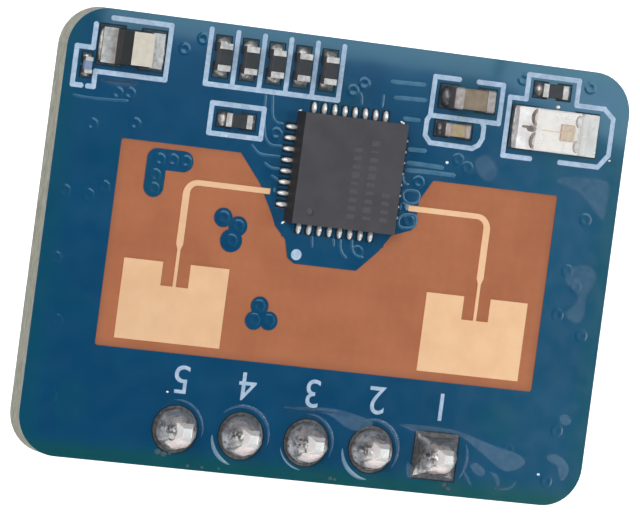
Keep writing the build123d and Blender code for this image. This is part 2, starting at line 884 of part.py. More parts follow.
# Status lamp: a white base with plated ends, a die, and a clear block cast over it
lamp_seat = seat_on(front_laminate, lamp_x, lamp_y)
lamp_base_top = lamp_seat.offset(lamp_base_height)
with BuildPart() as lamp_base:
    with BuildSketch(lamp_seat.offset(lamp_plating)):
        Rectangle(lamp_length - 2 * lamp_plating, lamp_width)
        with GridLocations(lamp_length, 0, 2, 1):
            Circle(lamp_notch_radius + lamp_plating, mode=Mode.SUBTRACT)
    extrude(amount=lamp_base_height - lamp_plating)
with BuildPart() as lamp_terminals:
    with BuildSketch(lamp_seat):
        Rectangle(lamp_length, lamp_width)
        Rectangle(lamp_length - 2 * lamp_pad_length, lamp_width, mode=Mode.SUBTRACT)
        with GridLocations(lamp_length, 0, 2, 1):
            Circle(lamp_notch_radius, mode=Mode.SUBTRACT)
    extrude(amount=lamp_base_height + lamp_plating)
    add(lamp_base.part, mode=Mode.SUBTRACT)
with BuildPart() as lamp_die:
    with BuildSketch(lamp_base_top):
        with Locations((die_x, 0)):
            Rectangle(die_length, die_width)
    extrude(amount=die_height)
with BuildPart() as lamp_lens:
    with BuildSketch(lamp_base_top):
        Rectangle(lens_length, lamp_width)
    extrude(amount=lens_height, taper=lens_draft)
    fillet(lamp_lens.faces().sort_by(Axis.Z)[-1].edges(), radius=lens_edge)
    add(lamp_die.part, mode=Mode.SUBTRACT)
    add(lamp_terminals.part, mode=Mode.SUBTRACT)
save_piece(lamp_base, "status_lamp_base")
save_piece(lamp_terminals, "status_lamp_terminals")
save_piece(lamp_die, "status_lamp_die")
save_piece(lamp_lens, "status_lamp_lens")

# Solder at the ends of the small front parts
with BuildPart() as front_solder:
    for placed in front_parts:
        part_solder(placed.kind, seat_of(front_laminate, placed))
    with Locations(lamp_seat.location):
        with PolarLocations(lamp_length / 2, 2):
            with GridLocations(0, lamp_width - lamp_toe_width, 1, 2):
                add(solder_toe(lamp_toe, lamp_base_height * 0.8, lamp_toe_width))
    with Locations(diode_seat.location):
        with PolarLocations(diode_body_length / 2 + diode_tab_length, 2):
            add(solder_toe(diode_toe, diode_tab_thickness, diode_tab_width))
save_piece(front_solder, "front_solder")

# Back mask, open over the back parts and the header rings
with BuildSketch() as back_openings:
    header_rings(-1, mask_margin)
    with Locations((microcontroller_x, microcontroller_y)):
        chip_lands(microcontroller, mask_margin)
    for placed in back_parts:
        with Locations(placed.spot):
            part_lands(placed.kind, mask_margin)
    with Locations((crystal_x, crystal_y)):
        crystal_lands(mask_margin)
    with Locations((regulator_x, regulator_y)):
        regulator_lands(mask_margin)
with BuildPart() as back_mask:
    with BuildSketch(back_laminate):
        board_outline()
        add(back_openings.sketch, mode=Mode.SUBTRACT)
    extrude(amount=mask_thickness)
save_piece(back_mask, "back_solder_mask")

# Lands of the back parts
with BuildPart() as back_lands:
    with BuildSketch(back_laminate):
        with Locations((microcontroller_x, microcontroller_y)):
            chip_lands(microcontroller)
        for placed in back_parts:
            with Locations(placed.spot):
                part_lands(placed.kind)
        with Locations((crystal_x, crystal_y)):
            crystal_lands()
        with Locations((regulator_x, regulator_y)):
            regulator_lands()
    extrude(amount=copper_thickness)
save_piece(back_lands, "back_lands")

# Microcontroller
mcu_seat = seat_on(back_laminate, microcontroller_x, microcontroller_y)
mcu_body, mcu_terminals = no_lead_chip(microcontroller, mcu_seat)
save_piece(mcu_body, "microcontroller_body")
save_piece(mcu_terminals, "microcontroller_terminals")

# Crystal: a ceramic tray with a welded metal lid, closed for life
crystal_seat = seat_on(back_laminate, crystal_x, crystal_y)
with BuildPart() as crystal_case:
    with BuildSketch(crystal_seat):
        RectangleRounded(crystal_length, crystal_width, crystal_corner)
    extrude(amount=crystal_tray_height)
    with BuildSketch(crystal_seat.offset(crystal_tray_height)):
        lid_length = crystal_length - 2 * crystal_lid_inset
        RectangleRounded(lid_length, crystal_width - 2 * crystal_lid_inset, crystal_corner)
    extrude(amount=crystal_lid_height)
save_piece(crystal_case, "crystal_case")

# Regulator: a block with sloping sides and five bent leads
regulator_seat = seat_on(back_laminate, regulator_x, regulator_y)
parting_plane = regulator_seat.offset(regulator_stand_off + regulator_height / 2)
with BuildPart() as regulator_leads:
    with Locations(regulator_seat.location):
        with Locations(*lead_places()):
            add(gull_lead())
with BuildPart() as regulator_body:
    for direction in (1, -1):
        with BuildSketch(parting_plane):
            Rectangle(regulator_width, regulator_length)
        extrude(amount=direction * regulator_height / 2, taper=regulator_draft)
    add(regulator_leads.part, mode=Mode.SUBTRACT)
save_piece(regulator_body, "regulator_body")
save_piece(regulator_leads, "regulator_leads")

# Back capacitors
back_capacitors = [chip_part(placed.kind, seat_of(back_laminate, placed)) for placed in back_parts]
with BuildPart() as back_capacitor_bodies:
    add([body.part for body, ends in back_capacitors])
with BuildPart() as back_capacitor_ends:
    add([ends.part for body, ends in back_capacitors])
save_piece(back_capacitor_bodies, "back_capacitor_bodies")
save_piece(back_capacitor_ends, "back_capacitor_ends")

# Solder on the back parts
with BuildPart() as back_solder:
    chip_solder(microcontroller, mcu_seat)
    for placed in back_parts:
        part_solder(placed.kind, seat_of(back_laminate, placed))
    with Locations(regulator_seat.location):
        with Locations(*lead_places()):
            with Locations((lead_span / 2, 0)):
                add(solder_toe(lead_toe, lead_thickness, lead_width))
save_piece(back_solder, "back_solder")
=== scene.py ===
"""Looks of a small radar presence sensor: a blue board with two gold patch antennas and a header.

Everything is in metres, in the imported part's own frame. The sizes of pieces and finishes, and places
on the board counted from its middle, are written in millimetres.
"""

import logging
import math
from collections.abc import Iterable, Sequence
from dataclasses import dataclass, replace
from enum import Enum

import bmesh
import bpy
from mathutils import Matrix, Vector, noise


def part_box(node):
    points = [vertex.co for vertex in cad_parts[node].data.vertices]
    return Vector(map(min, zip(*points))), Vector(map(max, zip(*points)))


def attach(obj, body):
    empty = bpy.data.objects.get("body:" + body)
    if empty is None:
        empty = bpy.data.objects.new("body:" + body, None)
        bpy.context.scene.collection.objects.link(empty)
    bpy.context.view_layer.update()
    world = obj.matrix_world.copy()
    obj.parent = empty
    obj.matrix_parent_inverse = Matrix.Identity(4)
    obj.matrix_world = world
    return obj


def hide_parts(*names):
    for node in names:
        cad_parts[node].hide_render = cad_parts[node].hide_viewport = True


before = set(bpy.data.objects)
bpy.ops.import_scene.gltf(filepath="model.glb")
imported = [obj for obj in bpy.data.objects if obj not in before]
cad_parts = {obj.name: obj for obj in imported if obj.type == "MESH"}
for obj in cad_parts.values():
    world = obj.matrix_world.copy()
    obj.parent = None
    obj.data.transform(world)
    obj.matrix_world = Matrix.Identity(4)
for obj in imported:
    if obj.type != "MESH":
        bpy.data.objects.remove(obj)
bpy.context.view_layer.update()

MM = 0.001
BODY = "root"
FILM_SHARE = "film_share"
NOISE_SEED = 7
SAME_PLACE = 1e-7
EDGE_ANGLE = math.radians(35)
EDGE_STEPS = 2
CURVE_STEPS = 5
TAPER_LENGTH = 0.06
TAPER_WIDTH = 0.1
VIA_STEPS = 20
VIA_RADIUS = 0.23
VIA_PROFILE = ((0.0, 0.1), (0.3, 0.2), (0.55, 0.8), (0.75, 1.0), (0.95, 0.5), (1.15, -0.2))

log = logging.getLogger("sensor")

Point = tuple[float, float]
Triple = tuple[float, float, float]
Line = Sequence[Point]
Socket = bpy.types.NodeSocket
Work = bmesh.types.BMesh
Verts = list[bmesh.types.BMVert]


class Slot(Enum):
    """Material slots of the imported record."""

    MASK = "blue_mask"
    LAMINATE = "laminate"
    GOLD = "gilded_copper"
    PRINT = "outline_print"
    STRIP = "strip_plastic"
    PIN = "pin_plating"
    SOLDER = "solder"
    EPOXY = "moulded_epoxy"
    TINNED = "tinned_metal"
    RESISTOR = "resistor_ceramic"
    CAPACITOR = "capacitor_ceramic"
    BLUE_GREY = "blue_grey_ceramic"
    BAND = "band_print"
    LAMP_BASE = "lamp_base_white"
    SILVER = "silver_plating"
    DIE = "lamp_die"
    RESIN = "clear_resin"
    CAN = "crystal_can"


# ---------------------------------------------------------------- finishes


def shade(paint: Triple) -> tuple[float, float, float, float]:
    """A colour as a paint chart gives it, 0 to 255 a channel, made linear."""
    return (*(((c / 255 + 0.055) / 1.055) ** 2.4 if c > 10 else c / 255 / 12.92 for c in paint), 1.0)


class NodeBench:
    """A new material or world on the bench, with short ways to lay its nodes and join them."""

    def __init__(self, owner: bpy.types.ID, shader: str = "BsdfPrincipled", output: str = "OutputMaterial") -> None:
        """Start with a shader, an output and the coordinates.

        Args:
            owner: The material or the world.
            shader: Kind of its shader.
            output: Kind of its output.
        """
        owner.use_nodes = True
        self.tree = owner.node_tree
        self.tree.nodes.clear()
        self.shader = self.add(shader)
        self.output = self.add(output, {"Surface": self.shader.outputs[0]})
        self.coordinates = self.add("TexCoord").outputs
        self.place = self.coordinates["Object"]

    def add(self, kind: str, feeds: dict[int | str, object] | None = None, **settings: object) -> bpy.types.Node:
        """Lay a node.

        Args:
            kind: Kind of the node.
            feeds: What its inputs get.
            settings: Its own settings.

        Returns:
            The new node.
        """
        node = self.tree.nodes.new(f"ShaderNode{kind}")
        for name, setting in settings.items():
            setattr(node, name, setting)
        self.feed(node, feeds or {})
        return node

    def feed(self, node: bpy.types.Node, feeds: dict[int | str, object]) -> None:
        """Link or set inputs of a node.

        Args:
            node: The node.
            feeds: A socket or a value for each input, by name or number. None leaves it as it is.
        """
        for name, value in feeds.items():
            if isinstance(value, Socket):
                self.tree.links.new(value, node.inputs[name])
            elif value is not None:
                node.inputs[name].default_value = value

    def fed(self, name: str) -> Socket:
        """What feeds an input of the shader."""
        return self.shader.inputs[name].links[0].from_socket

    def speckle(self, size: float, detail: float = 2.0, rough: float = 0.5, along: Triple | None = None) -> Socket:
        """Soft noise.

        Args:
            size: Size of its patches.
            detail: Octaves of finer noise.
            rough: Strength of the finer octaves.
            along: Stretch along the axes, or None.

        Returns:
            The noise, about 0.3 to 0.7.
        """
        place = self.add("Mapping", {"Vector": self.place, "Scale": along}).outputs[0] if along else self.place
        feeds = {"Vector": place, "Scale": 1.0 / (size * MM), "Detail": detail, "Roughness": rough}
        return self.add("TexNoise", feeds).outputs["Fac"]

    def spread(
        self, value: Socket, low: float = 0.35, high: float = 0.65, to_low: float = 0.0, to_high: float = 1.0,
        way: str = "LINEAR",
    ) -> Socket:
        """Map a value from one range, such as that of noise, to another, held at both ends."""
        feeds = {"Value": value, "From Min": low, "From Max": high, "To Min": to_low, "To Max": to_high}
        return self.add("MapRange", feeds, interpolation_type=way).outputs[0]

    def figure(self, operation: str, first: object, second: object = 0.0) -> Socket:
        """One sum on two values, such as ADD or MULTIPLY."""
        return self.add("Math", {0: first, 1: second}, operation=operation).outputs[0]

    def blend(self, share: object, first: object, second: object) -> Socket:
        """Mix two colours by the share of the second. Each is a socket, a paint or a linear colour."""
        tones = (shade(tone) if isinstance(tone, tuple) and len(tone) == 3 else tone for tone in (first, second))
        return self.add("Mix", dict(zip((0, 6, 7), (share, *tones))), data_type="RGBA").outputs[2]

    def part(self, vector: Socket, axis: int) -> Socket:
        """One part of a place or a direction, 0 for X, 1 for Y, 2 for Z."""
        return self.add("SeparateXYZ", {0: vector}).outputs[axis]

    def off(self, axis: int, middle: float) -> Socket:
        """How far a place is from a middle, along X or Y."""
        return self.figure("ABSOLUTE", self.figure("SUBTRACT", self.part(self.place, axis), middle * MM))

    def upright(self) -> Socket:
        """How straight a face looks up or down."""
        return self.figure("ABSOLUTE", self.part(self.coordinates["Normal"], 2))

    def inside(self, spans: Sequence[Point], soft: float = 0.02) -> Socket:
        """Whether a place is inside a box.

        Args:
            spans: Its ends along X, then along Y.
            soft: Half the width of its blurred border.

        Returns:
            1 inside and 0 outside.
        """
        shares = []
        for axis, (low, high) in enumerate(spans):
            reach, half = self.off(axis, (low + high) / 2), (high - low) / 2
            shares.append(self.spread(reach, (half - soft) * MM, (half + soft) * MM, 1.0, 0.0))
        return self.figure("MULTIPLY", *shares)

    def distance(self, steps: Iterable[Socket]) -> Socket:
        """How far away a place is, from its steps along two axes."""
        return self.figure("SQRT", self.figure("ADD", *(self.figure("MULTIPLY", step, step) for step in steps)))

    def relief(self, height: Socket, depth: float, onto: Socket | None = None) -> Socket:
        """Bump the surface by a height of 0 to 1 times a depth, over another bump if there is one."""
        feeds = {"Strength": 1.0, "Distance": depth * MM, "Height": height, "Normal": onto}
        return self.add("Bump", feeds).outputs["Normal"]


@dataclass(frozen=True)
class Finish:
    """Two close colours in patches, with gloss that varies, a fine grain and lumps of a size and a depth."""

    name: str
    slot: Slot
    colour: Triple
    accent: Triple
    patch: float
    rough: Point
    grain: Point
    lumps: Point = (0.25, 0.0)
    coat: Point = (0.0, 0.1)
    metallic: float = 0.0
    specular: float = 0.5
    pits: float = 0.0
    pit_colour: Triple = (84, 80, 80)

    def material(self) -> bpy.types.Material:
        """The finish as a material, made the first time it is asked for."""
        found = bpy.data.materials.get(self.name)
        if found is None:
            found = bpy.data.materials.new(self.name)
            self.lay(NodeBench(found))
        return found

    def lay(self, bench: NodeBench) -> None:
        """Lay the nodes of this finish.

        Args:
            bench: The empty material.
        """
        colour = bench.blend(bench.spread(bench.speckle(self.patch, 3.0)), self.colour, self.accent)
        if self.pits > 0:
            dark = bench.spread(bench.speckle(self.patch * 0.7, 3.0, 0.6), 0.56, 0.66, 0.0, self.pits)
            colour = bench.blend(dark, colour, self.pit_colour)
        normal = bench.relief(bench.speckle(self.grain[0], 3.0, 0.6), self.grain[1])
        if self.lumps[1] > 0:
            normal = bench.relief(bench.speckle(self.lumps[0]), self.lumps[1], normal)
        bench.feed(bench.shader, {
            "Base Color": colour, "Metallic": self.metallic, "Specular IOR Level": self.specular, "Normal": normal,
            "Roughness": bench.spread(bench.speckle(self.patch * 0.6, 4.0), 0.3, 0.7, *self.rough),
            "Coat Weight": self.coat[0], "Coat Roughness": self.coat[1],
        })


@dataclass(frozen=True)
class MaskFinish(Finish):
    """Blue solder mask: deep blue over copper, greener over bare laminate and along the edges."""

    bare: Triple = (15, 76, 103)
    bare_foot: Triple = (18, 79, 88)
    foot_fade: Point = (-0.3 * MM, -1.0 * MM)
    middle: Point = (0.0, 6.6)
    half: Point = (11.0, 8.0)
    copper_margin: float = 0.55
    step_height: float = 0.003
    coat_waves: Point = (1.6, 0.0004)

    def lay(self, bench: NodeBench) -> None:
        """Lay the nodes of the mask. The copper planes stop short of the board's edge.

        Args:
            bench: The empty material.
        """
        blue = bench.blend(bench.spread(bench.speckle(self.patch), 0.38, 0.62), self.colour, self.accent)
        gaps = bench.spread(bench.speckle(3.4, 1.0), 0.59, 0.66, 0.0, 0.6)
        beyond = (
            bench.figure("SUBTRACT", bench.off(axis, self.middle[axis]), (self.half[axis] - self.copper_margin) * MM)
            for axis in (0, 1)
        )
        edge = bench.spread(bench.figure("MAXIMUM", *beyond), -0.35 * MM, 0.28 * MM)
        share = bench.figure("MAXIMUM", gaps, edge)
        foot = bench.spread(bench.part(bench.place, 1), *self.foot_fade)
        wave = bench.relief(bench.speckle(self.lumps[0]), self.lumps[1], bench.relief(share, self.step_height))
        bench.feed(bench.shader, {
            "Base Color": bench.blend(share, blue, bench.blend(foot, self.bare, self.bare_foot)),
            "Roughness": bench.spread(bench.speckle(0.7, 3.0), 0.35, 0.65, *self.rough),
            "Specular IOR Level": self.specular, "Coat Weight": self.coat[0], "Coat Roughness": self.coat[1],
            "Normal": bench.relief(bench.speckle(self.grain[0]), self.grain[1], wave),
            "Coat Normal": bench.relief(bench.speckle(self.coat_waves[0], 1.0), self.coat_waves[1]),
        })


@dataclass(frozen=True)
class LaminateFinish(Finish):
    """Woven glass laminate: warm brown faces with a faint weave, and pale cut edges with fibres. Painted shade darkens
    it under the mask and the chip, and along the window's rim.
    """

    edge: Triple = (162, 162, 148)
    edge_fibre: Triple = (124, 121, 108)
    covered_shade: Triple = (26, 44, 52)
    thread: Triple = (196, 140, 104)
    window_rim_shade: Triple = (140, 88, 64)
    weave: float = 0.42 * MM
    window: Sequence[Point] = ((-8.56, 8.61), (2.66, 10.14))
    chip_shade_zone: Sequence[Point] = ((-2.62, 2.62), (8.3, 12.5))
    chip_foot_shade: Sequence[Point] = ((-2.0, 2.0), (7.3, 8.4))

    def lay(self, bench: NodeBench) -> None:
        """Lay the nodes of the laminate.

        Args:
            bench: The empty material.
        """
        feeds = {"Scale": 0.31 / self.weave, "Distortion": 0.6, "Detail Scale": 0.5 / self.weave, "Vector": bench.place}
        threads = (bench.add("TexWave", feeds, bands_direction=way).outputs["Fac"] for way in "XY")
        weave = bench.figure("MULTIPLY", *threads)
        face = bench.blend(bench.spread(bench.speckle(self.patch, 3.0)), self.colour, self.accent)
        face = bench.blend(bench.spread(weave, 0.0, 1.0, 0.0, 0.05), face, self.thread)
        # Painted shade: a darker rim along the window's edge, by the mask's step.
        face = bench.blend(bench.inside(self.window, 0.34), self.window_rim_shade, face)
        # Painted shade: outside the window and under the chip, the laminate is painted near black for the shade in the
        # gaps.
        shade_under_chip = bench.figure("MAXIMUM", bench.inside(self.chip_shade_zone), bench.inside(self.chip_foot_shade))
        bare = bench.figure("SUBTRACT", bench.inside(self.window), shade_under_chip)
        face = bench.blend(bench.spread(bare, 0.0, 1.0), self.covered_shade, face)
        fibres = bench.spread(bench.speckle(0.10, 4.0, 0.7, (0.25, 0.25, 1.6)), 0.38, 0.62)
        wall = bench.blend(fibres, self.edge, self.edge_fibre)
        bench.feed(bench.shader, {
            "Base Color": bench.blend(bench.spread(bench.upright(), 0.4, 0.6), wall, face),
            "Roughness": bench.spread(bench.speckle(self.patch, 4.0), 0.35, 0.65, *self.rough),
            "Specular IOR Level": self.specular,
            "Normal": bench.relief(bench.speckle(self.grain[0], 3.0), self.grain[1], bench.relief(weave, 0.0015)),
        })


@dataclass(frozen=True)
class ShadedFlankFinish(Finish):
    """A block whose flanks get another colour than its upper face, as painted shade: the flanks of the tin and the
    chip's epoxy are painted darker, the resistors' pale ceramic sides are painted darker than they are, and the diode's
    flanks get a warm painted shade.
    """

    shaded_flank: Triple = (92, 88, 90)

    def lay(self, bench: NodeBench) -> None:
        """Lay the finish, and paint shade on the flanks.

        Args:
            bench: The empty material.
        """
        super().lay(bench)
        # Painted shade: faces that look neither up nor down get the shaded flank colour.
        on_top = bench.spread(bench.upright(), 0.4, 0.8)
        bench.feed(bench.shader, {"Base Color": bench.blend(on_top, self.shaded_flank, bench.fed("Base Color"))})


@dataclass(frozen=True)
class LampSilverFinish(Finish):
    """The lamp's plating: white with painted warm shadows at the left end, and painted greyer and even at the right, as
    painted shade.
    """

    right_shade_colour: Triple = (216, 212, 210)
    right_shade_accent: Triple = (203, 199, 197)
    split: Point = (7.65 * MM, 7.75 * MM)

    def lay(self, bench: NodeBench) -> None:
        """Lay the finish, and paint the right end greyer, as shade.

        Args:
            bench: The empty material.
        """
        super().lay(bench)
        # Painted shade: the right end is painted greyer than the left.
        even = bench.blend(bench.spread(bench.speckle(self.patch)), self.right_shade_colour, self.right_shade_accent)
        on_right = bench.spread(bench.part(bench.place, 0), *self.split)
        bench.feed(bench.shader, {"Base Color": bench.blend(on_right, bench.fed("Base Color"), even)})


@dataclass(frozen=True)
class JointFinish(Finish):
    """Soldered joints in a row, with painted light and shade: a painted dark rim and crease, painted shade greyer on
    the side away from the board's edge, and a painted highlight low on the front with a painted dark outline.
    """

    square: bool = False
    left_shade_lean: float = 0.0
    pitch: float = 2.54
    rim: Point = (0.71, 0.86)
    rim_shade_colour: Triple = (78, 75, 76)
    shady: Triple = (112, 112, 115)
    crease_shade: Point = (-0.46, 0.06)
    highlight_pool: Point = (0.0, -0.45)
    highlight_pool_radii: Point = (0.42, 0.21)
    highlight_pool_colour: Triple = (244, 228, 226)
    uneven: float = 0.05
    patches: float = 0.35

    def lay(self, bench: NodeBench) -> None:
        """Lay the nodes of the joints. The row runs along X at Y 0, and the sums are in millimetres.

        Args:
            bench: The empty material.
        """
        super().lay(bench)
        turns = bench.figure("DIVIDE", bench.part(bench.place, 0), self.pitch * MM)
        aside = bench.figure("MULTIPLY", bench.figure("SUBTRACT", turns, bench.figure("ROUND", turns)), self.pitch)
        y = bench.figure("DIVIDE", bench.part(bench.place, 1), MM)
        places = aside, y
        reaches = [bench.figure("ABSOLUTE", place) for place in places]
        reach, keep = bench.distance(reaches), 1.0
        # Painted shade: on the square joint the dark rim reaches further in at the left and stops short of the corners.
        if self.square:
            drawn = bench.figure("MULTIPLY", aside, self.left_shade_lean)
            reach = bench.figure("SUBTRACT", bench.figure("MAXIMUM", *reaches), drawn)
            keep = bench.spread(bench.figure("MINIMUM", *reaches), 0.36, 0.62, 1.0, 0.1)
        uneven = bench.spread(bench.speckle(self.patches), 0.3, 0.7, -self.uneven, self.uneven)
        # Painted shade: the rim is painted dark.
        dark = bench.spread(bench.figure("ADD", reach, uneven), *self.rim, 0.0, 0.92)
        # Painted shade: greyer on the side away from the board's edge.
        away = bench.spread(bench.figure("ADD", y, uneven), -0.02, 0.14, 0.0, 0.6)
        toned = bench.blend(away, bench.fed("Base Color"), self.shady)
        # Painted shade: dark lines in a crease left of the pin.
        gap = bench.distance(bench.figure("SUBTRACT", place, at) for place, at in zip(places, self.crease_shade))
        lines = bench.spread(bench.speckle(0.13), 0.46, 0.54, 0.0, 0.9)
        crease_shaded = bench.figure("MULTIPLY", bench.spread(gap, 0.12, 0.28, 1.0, 0.0), lines)
        toned = bench.blend(crease_shaded, toned, self.rim_shade_colour)
        # Painted highlight: a pale, less metallic pool low on the front, with a painted dark outline.
        highlight_pool = bench.distance(
            bench.figure("DIVIDE", bench.figure("SUBTRACT", place, at), radius)
            for place, at, radius in zip(places, self.highlight_pool, self.highlight_pool_radii)
        )
        highlight_pool = bench.figure("ADD", highlight_pool, bench.figure("DIVIDE", uneven, self.patches))
        highlight_edge = bench.figure("ABSOLUTE", bench.figure("SUBTRACT", highlight_pool, 1.12))
        toned = bench.blend(bench.spread(highlight_edge, 0.04, 0.16, 0.6, 0.0), toned, self.rim_shade_colour)
        highlit = bench.spread(highlight_pool, 0.86, 1.02, 0.9, 0.0)
        toned = bench.blend(highlit, toned, self.highlight_pool_colour)
        bench.feed(bench.shader, {
            "Metallic": bench.spread(highlit, 0.0, 0.9, self.metallic, 0.05),
            "Base Color": bench.blend(bench.figure("MULTIPLY", dark, keep), toned, self.rim_shade_colour),
        })


@dataclass(frozen=True)
class ResinFinish(Finish):
    """A clear or milky layer over parts that stay lit through it, thicker in some places."""

    cover: Point = (0.24, 0.30)
    thins_out: bool = False

    def lay(self, bench: NodeBench) -> None:
        """Lay the finish, and let what is under it show.

        Args:
            bench: The empty material.
        """
        super().lay(bench)
        cover = bench.spread(bench.speckle(self.patch, 3.0, 0.6), 0.36, 0.64, *self.cover)
        if self.thins_out:
            rim = bench.add("Attribute", attribute_name=FILM_SHARE).outputs["Fac"]
            cover = bench.figure("MULTIPLY", cover, rim)
        bench.feed(bench.shader, {"Alpha": cover})


# Each finish gives its colour, its accent, the size of its patches, its roughness and its grain.
MASK = MaskFinish(
    "blue_mask_lacquer", Slot.MASK, (13, 70, 107), (17, 75, 112), 2.2, (0.10, 0.18), (0.12, 0.0001),
    lumps=(1.1, 0.0012), coat=(1.0, 0.03), specular=0.25,
)
TRACK = Finish(
    "lacquer_over_copper", Slot.MASK, (44, 98, 134), (32, 88, 124), 0.5, (0.1, 0.2), (0.1, 0.0004), coat=(0.4, 0.1)
)
# Painted reflection: paler than the lacquer over copper, for the sheen the broad tracks catch.
SHEEN_BROAD_TRACK = Finish(
    "sheen_and_lacquer_over_broad_copper", Slot.MASK, (60, 110, 142), (44, 96, 130), 0.4, (0.15, 0.25), (0.1, 0.0002)
)
# Painted sheen: these flux films and crescents are painted pale for the reflection they catch, and the brightest
# crescents as a painted highlight.
HAZE = ResinFinish(
    "haze_of_flux_and_sheen", Slot.MASK, (96, 130, 164), (76, 116, 150), 0.6, (0.12, 0.25), (0.1, 0.0001),
    coat=(1.0, 0.05), cover=(0.18, 0.50), thins_out=True,
)
FLUX_AND_SHEEN = ResinFinish(
    "film_of_flux_and_sheen", Slot.MASK, (112, 146, 180), (88, 124, 158), 0.45, (0.12, 0.25), (0.1, 0.0003),
    coat=(0.6, 0.05), cover=(0.22, 0.56), thins_out=True,
)
CREST = replace(FLUX_AND_SHEEN, name="crest_of_flux_and_sheen", cover=(0.25, 0.62), thins_out=False)
BRIGHT_CREST = replace(
    CREST, name="crest_of_flux_and_highlight", colour=(142, 172, 194), accent=(106, 142, 164), cover=(0.55, 1.0)
)
RESIDUE = Finish("dried_flux", Slot.MASK, (62, 82, 90), (44, 74, 84), 0.12, (0.35, 0.55), (0.04, 0.002))
LAMINATE = LaminateFinish(
    "woven_laminate", Slot.LAMINATE, (177, 107, 70), (168, 99, 65), 1.8, (0.42, 0.58), (0.09, 0.001), specular=0.3
)
GOLD = Finish(
    "gilded_copper_satin", Slot.GOLD, (244, 196, 153), (238, 188, 145), 0.9, (0.36, 0.46), (0.07, 0.0006), metallic=0.4
)
PRINT = Finish(
    "white_outline_ink", Slot.PRINT, (184, 204, 226), (162, 186, 212), 0.22, (0.45, 0.65), (0.05, 0.003),
    specular=0.3, pits=0.4, pit_colour=(118, 152, 186),
)
SOLDER = Finish(
    "bright_solder", Slot.SOLDER, (246, 244, 242), (196, 192, 190), 0.25, (0.14, 0.36), (0.05, 0.003),
    lumps=(0.26, 0.02), metallic=0.8,
)
# Painted light and shade on the joints, as laid in JointFinish.
JOINT = JointFinish(
    "joint_solder", Slot.SOLDER, (250, 247, 246), (186, 182, 180), 0.30, (0.16, 0.36), (0.05, 0.003),
    lumps=(0.34, 0.035), metallic=0.5, pits=0.9,
)
SQUARE_JOINT = replace(JOINT, name="square_joint_solder", square=True, left_shade_lean=0.08, rim=(0.52, 0.74))
BEAD = Finish(
    "bead_solder", Slot.SOLDER, (255, 254, 252), (244, 242, 240), 0.15, (0.2, 0.3), (0.04, 0.001), metallic=0.4
)
# Painted shade: the capacitors' fillets are painted dark grey, for the dark they reflect.
SHADED_GLOSSY_SOLDER = Finish(
    "glossy_solder_in_painted_shade", Slot.SOLDER, (108, 107, 108), (62, 62, 66), 0.2, (0.22, 0.42), (0.05, 0.002),
    lumps=(0.22, 0.03), metallic=0.7,
)
DULL_SOLDER = Finish(
    "dull_solder", Slot.SOLDER, (206, 202, 196), (126, 124, 120), 0.2, (0.25, 0.5), (0.05, 0.004),
    lumps=(0.18, 0.02), metallic=0.7,
)
HOLE_RIM = Finish(
    "dark_hole_plating", Slot.GOLD, (104, 102, 102), (66, 68, 74), 0.16, (0.25, 0.45), (0.05, 0.003), metallic=0.3
)
# Painted shade: the tinned lands are painted dark and bluish, for the shade in the mask's pockets.
SHADED_LAND = Finish("tinned_land_in_painted_shade", Slot.GOLD, (70, 82, 92), (42, 56, 68), 0.22, (0.25, 0.45), (0.05, 0.003), metallic=0.5)
# Painted shade: the tin's flanks are painted darker than its top.
TINNED = ShadedFlankFinish(
    "matt_tin", Slot.TINNED, (212, 209, 206), (176, 172, 171), 0.18, (0.3, 0.5), (0.04, 0.003),
    lumps=(0.15, 0.008), metallic=0.4,
)
WARM_TIN = replace(TINNED, name="warm_matt_tin", colour=(176, 168, 165), accent=(150, 141, 139))
PINK_TIN = replace(TINNED, name="warm_pink_tin", colour=(178, 162, 160), accent=(152, 138, 138))
PIN = Finish(
    "tinned_brass_pin", Slot.PIN, (244, 241, 240), (234, 230, 228), 0.9, (0.24, 0.30), (0.05, 0.0004), metallic=0.3
)
STRIP = Finish("black_strip_plastic", Slot.STRIP, (34, 34, 36), (26, 26, 28), 0.9, (0.38, 0.55), (0.08, 0.003))
# Painted shade: the epoxy's flanks are painted near black.
EPOXY = ShadedFlankFinish(
    "moulded_epoxy_black", Slot.EPOXY, (71, 69, 75), (65, 63, 68), 0.8, (0.5, 0.64), (0.035, 0.0025),
    specular=0.35, shaded_flank=(37, 38, 40),
)
# Painted shade: the diode's flanks get a warm painted shade.
DIODE_BLACK = ShadedFlankFinish(
    "diode_epoxy_black", Slot.EPOXY, (35, 37, 39), (28, 29, 31), 0.5, (0.45, 0.6), (0.04, 0.002),
    specular=0.35, shaded_flank=(40, 38, 38),
)
# Painted shade: the resistors' pale ceramic sides are painted dark grey.
RESISTOR = ShadedFlankFinish(
    "resistor_black_glaze", Slot.RESISTOR, (42, 42, 46), (33, 33, 36), 0.3, (0.3, 0.45), (0.04, 0.001),
    shaded_flank=(74, 70, 70),
)
TAN = Finish("tan_ceramic", Slot.CAPACITOR, (138, 122, 102), (124, 108, 91), 0.25, (0.35, 0.5), (0.03, 0.0015))
AMBER = replace(TAN, name="amber_ceramic", colour=(173, 155, 122), accent=(158, 139, 110), patch=0.2)
BLUE_GREY = Finish(
    "blue_grey_ceramic", Slot.BLUE_GREY, (104, 134, 190), (88, 116, 170), 0.12, (0.3, 0.45), (0.03, 0.001)
)
BAND = Finish("cream_band_ink", Slot.BAND, (216, 208, 193), (205, 197, 182), 0.3, (0.5, 0.65), (0.04, 0.002))
LAMP_WHITE = Finish(
    "lamp_base_plastic", Slot.LAMP_BASE, (252, 248, 245), (244, 239, 234), 0.3, (0.4, 0.55), (0.03, 0.001)
)
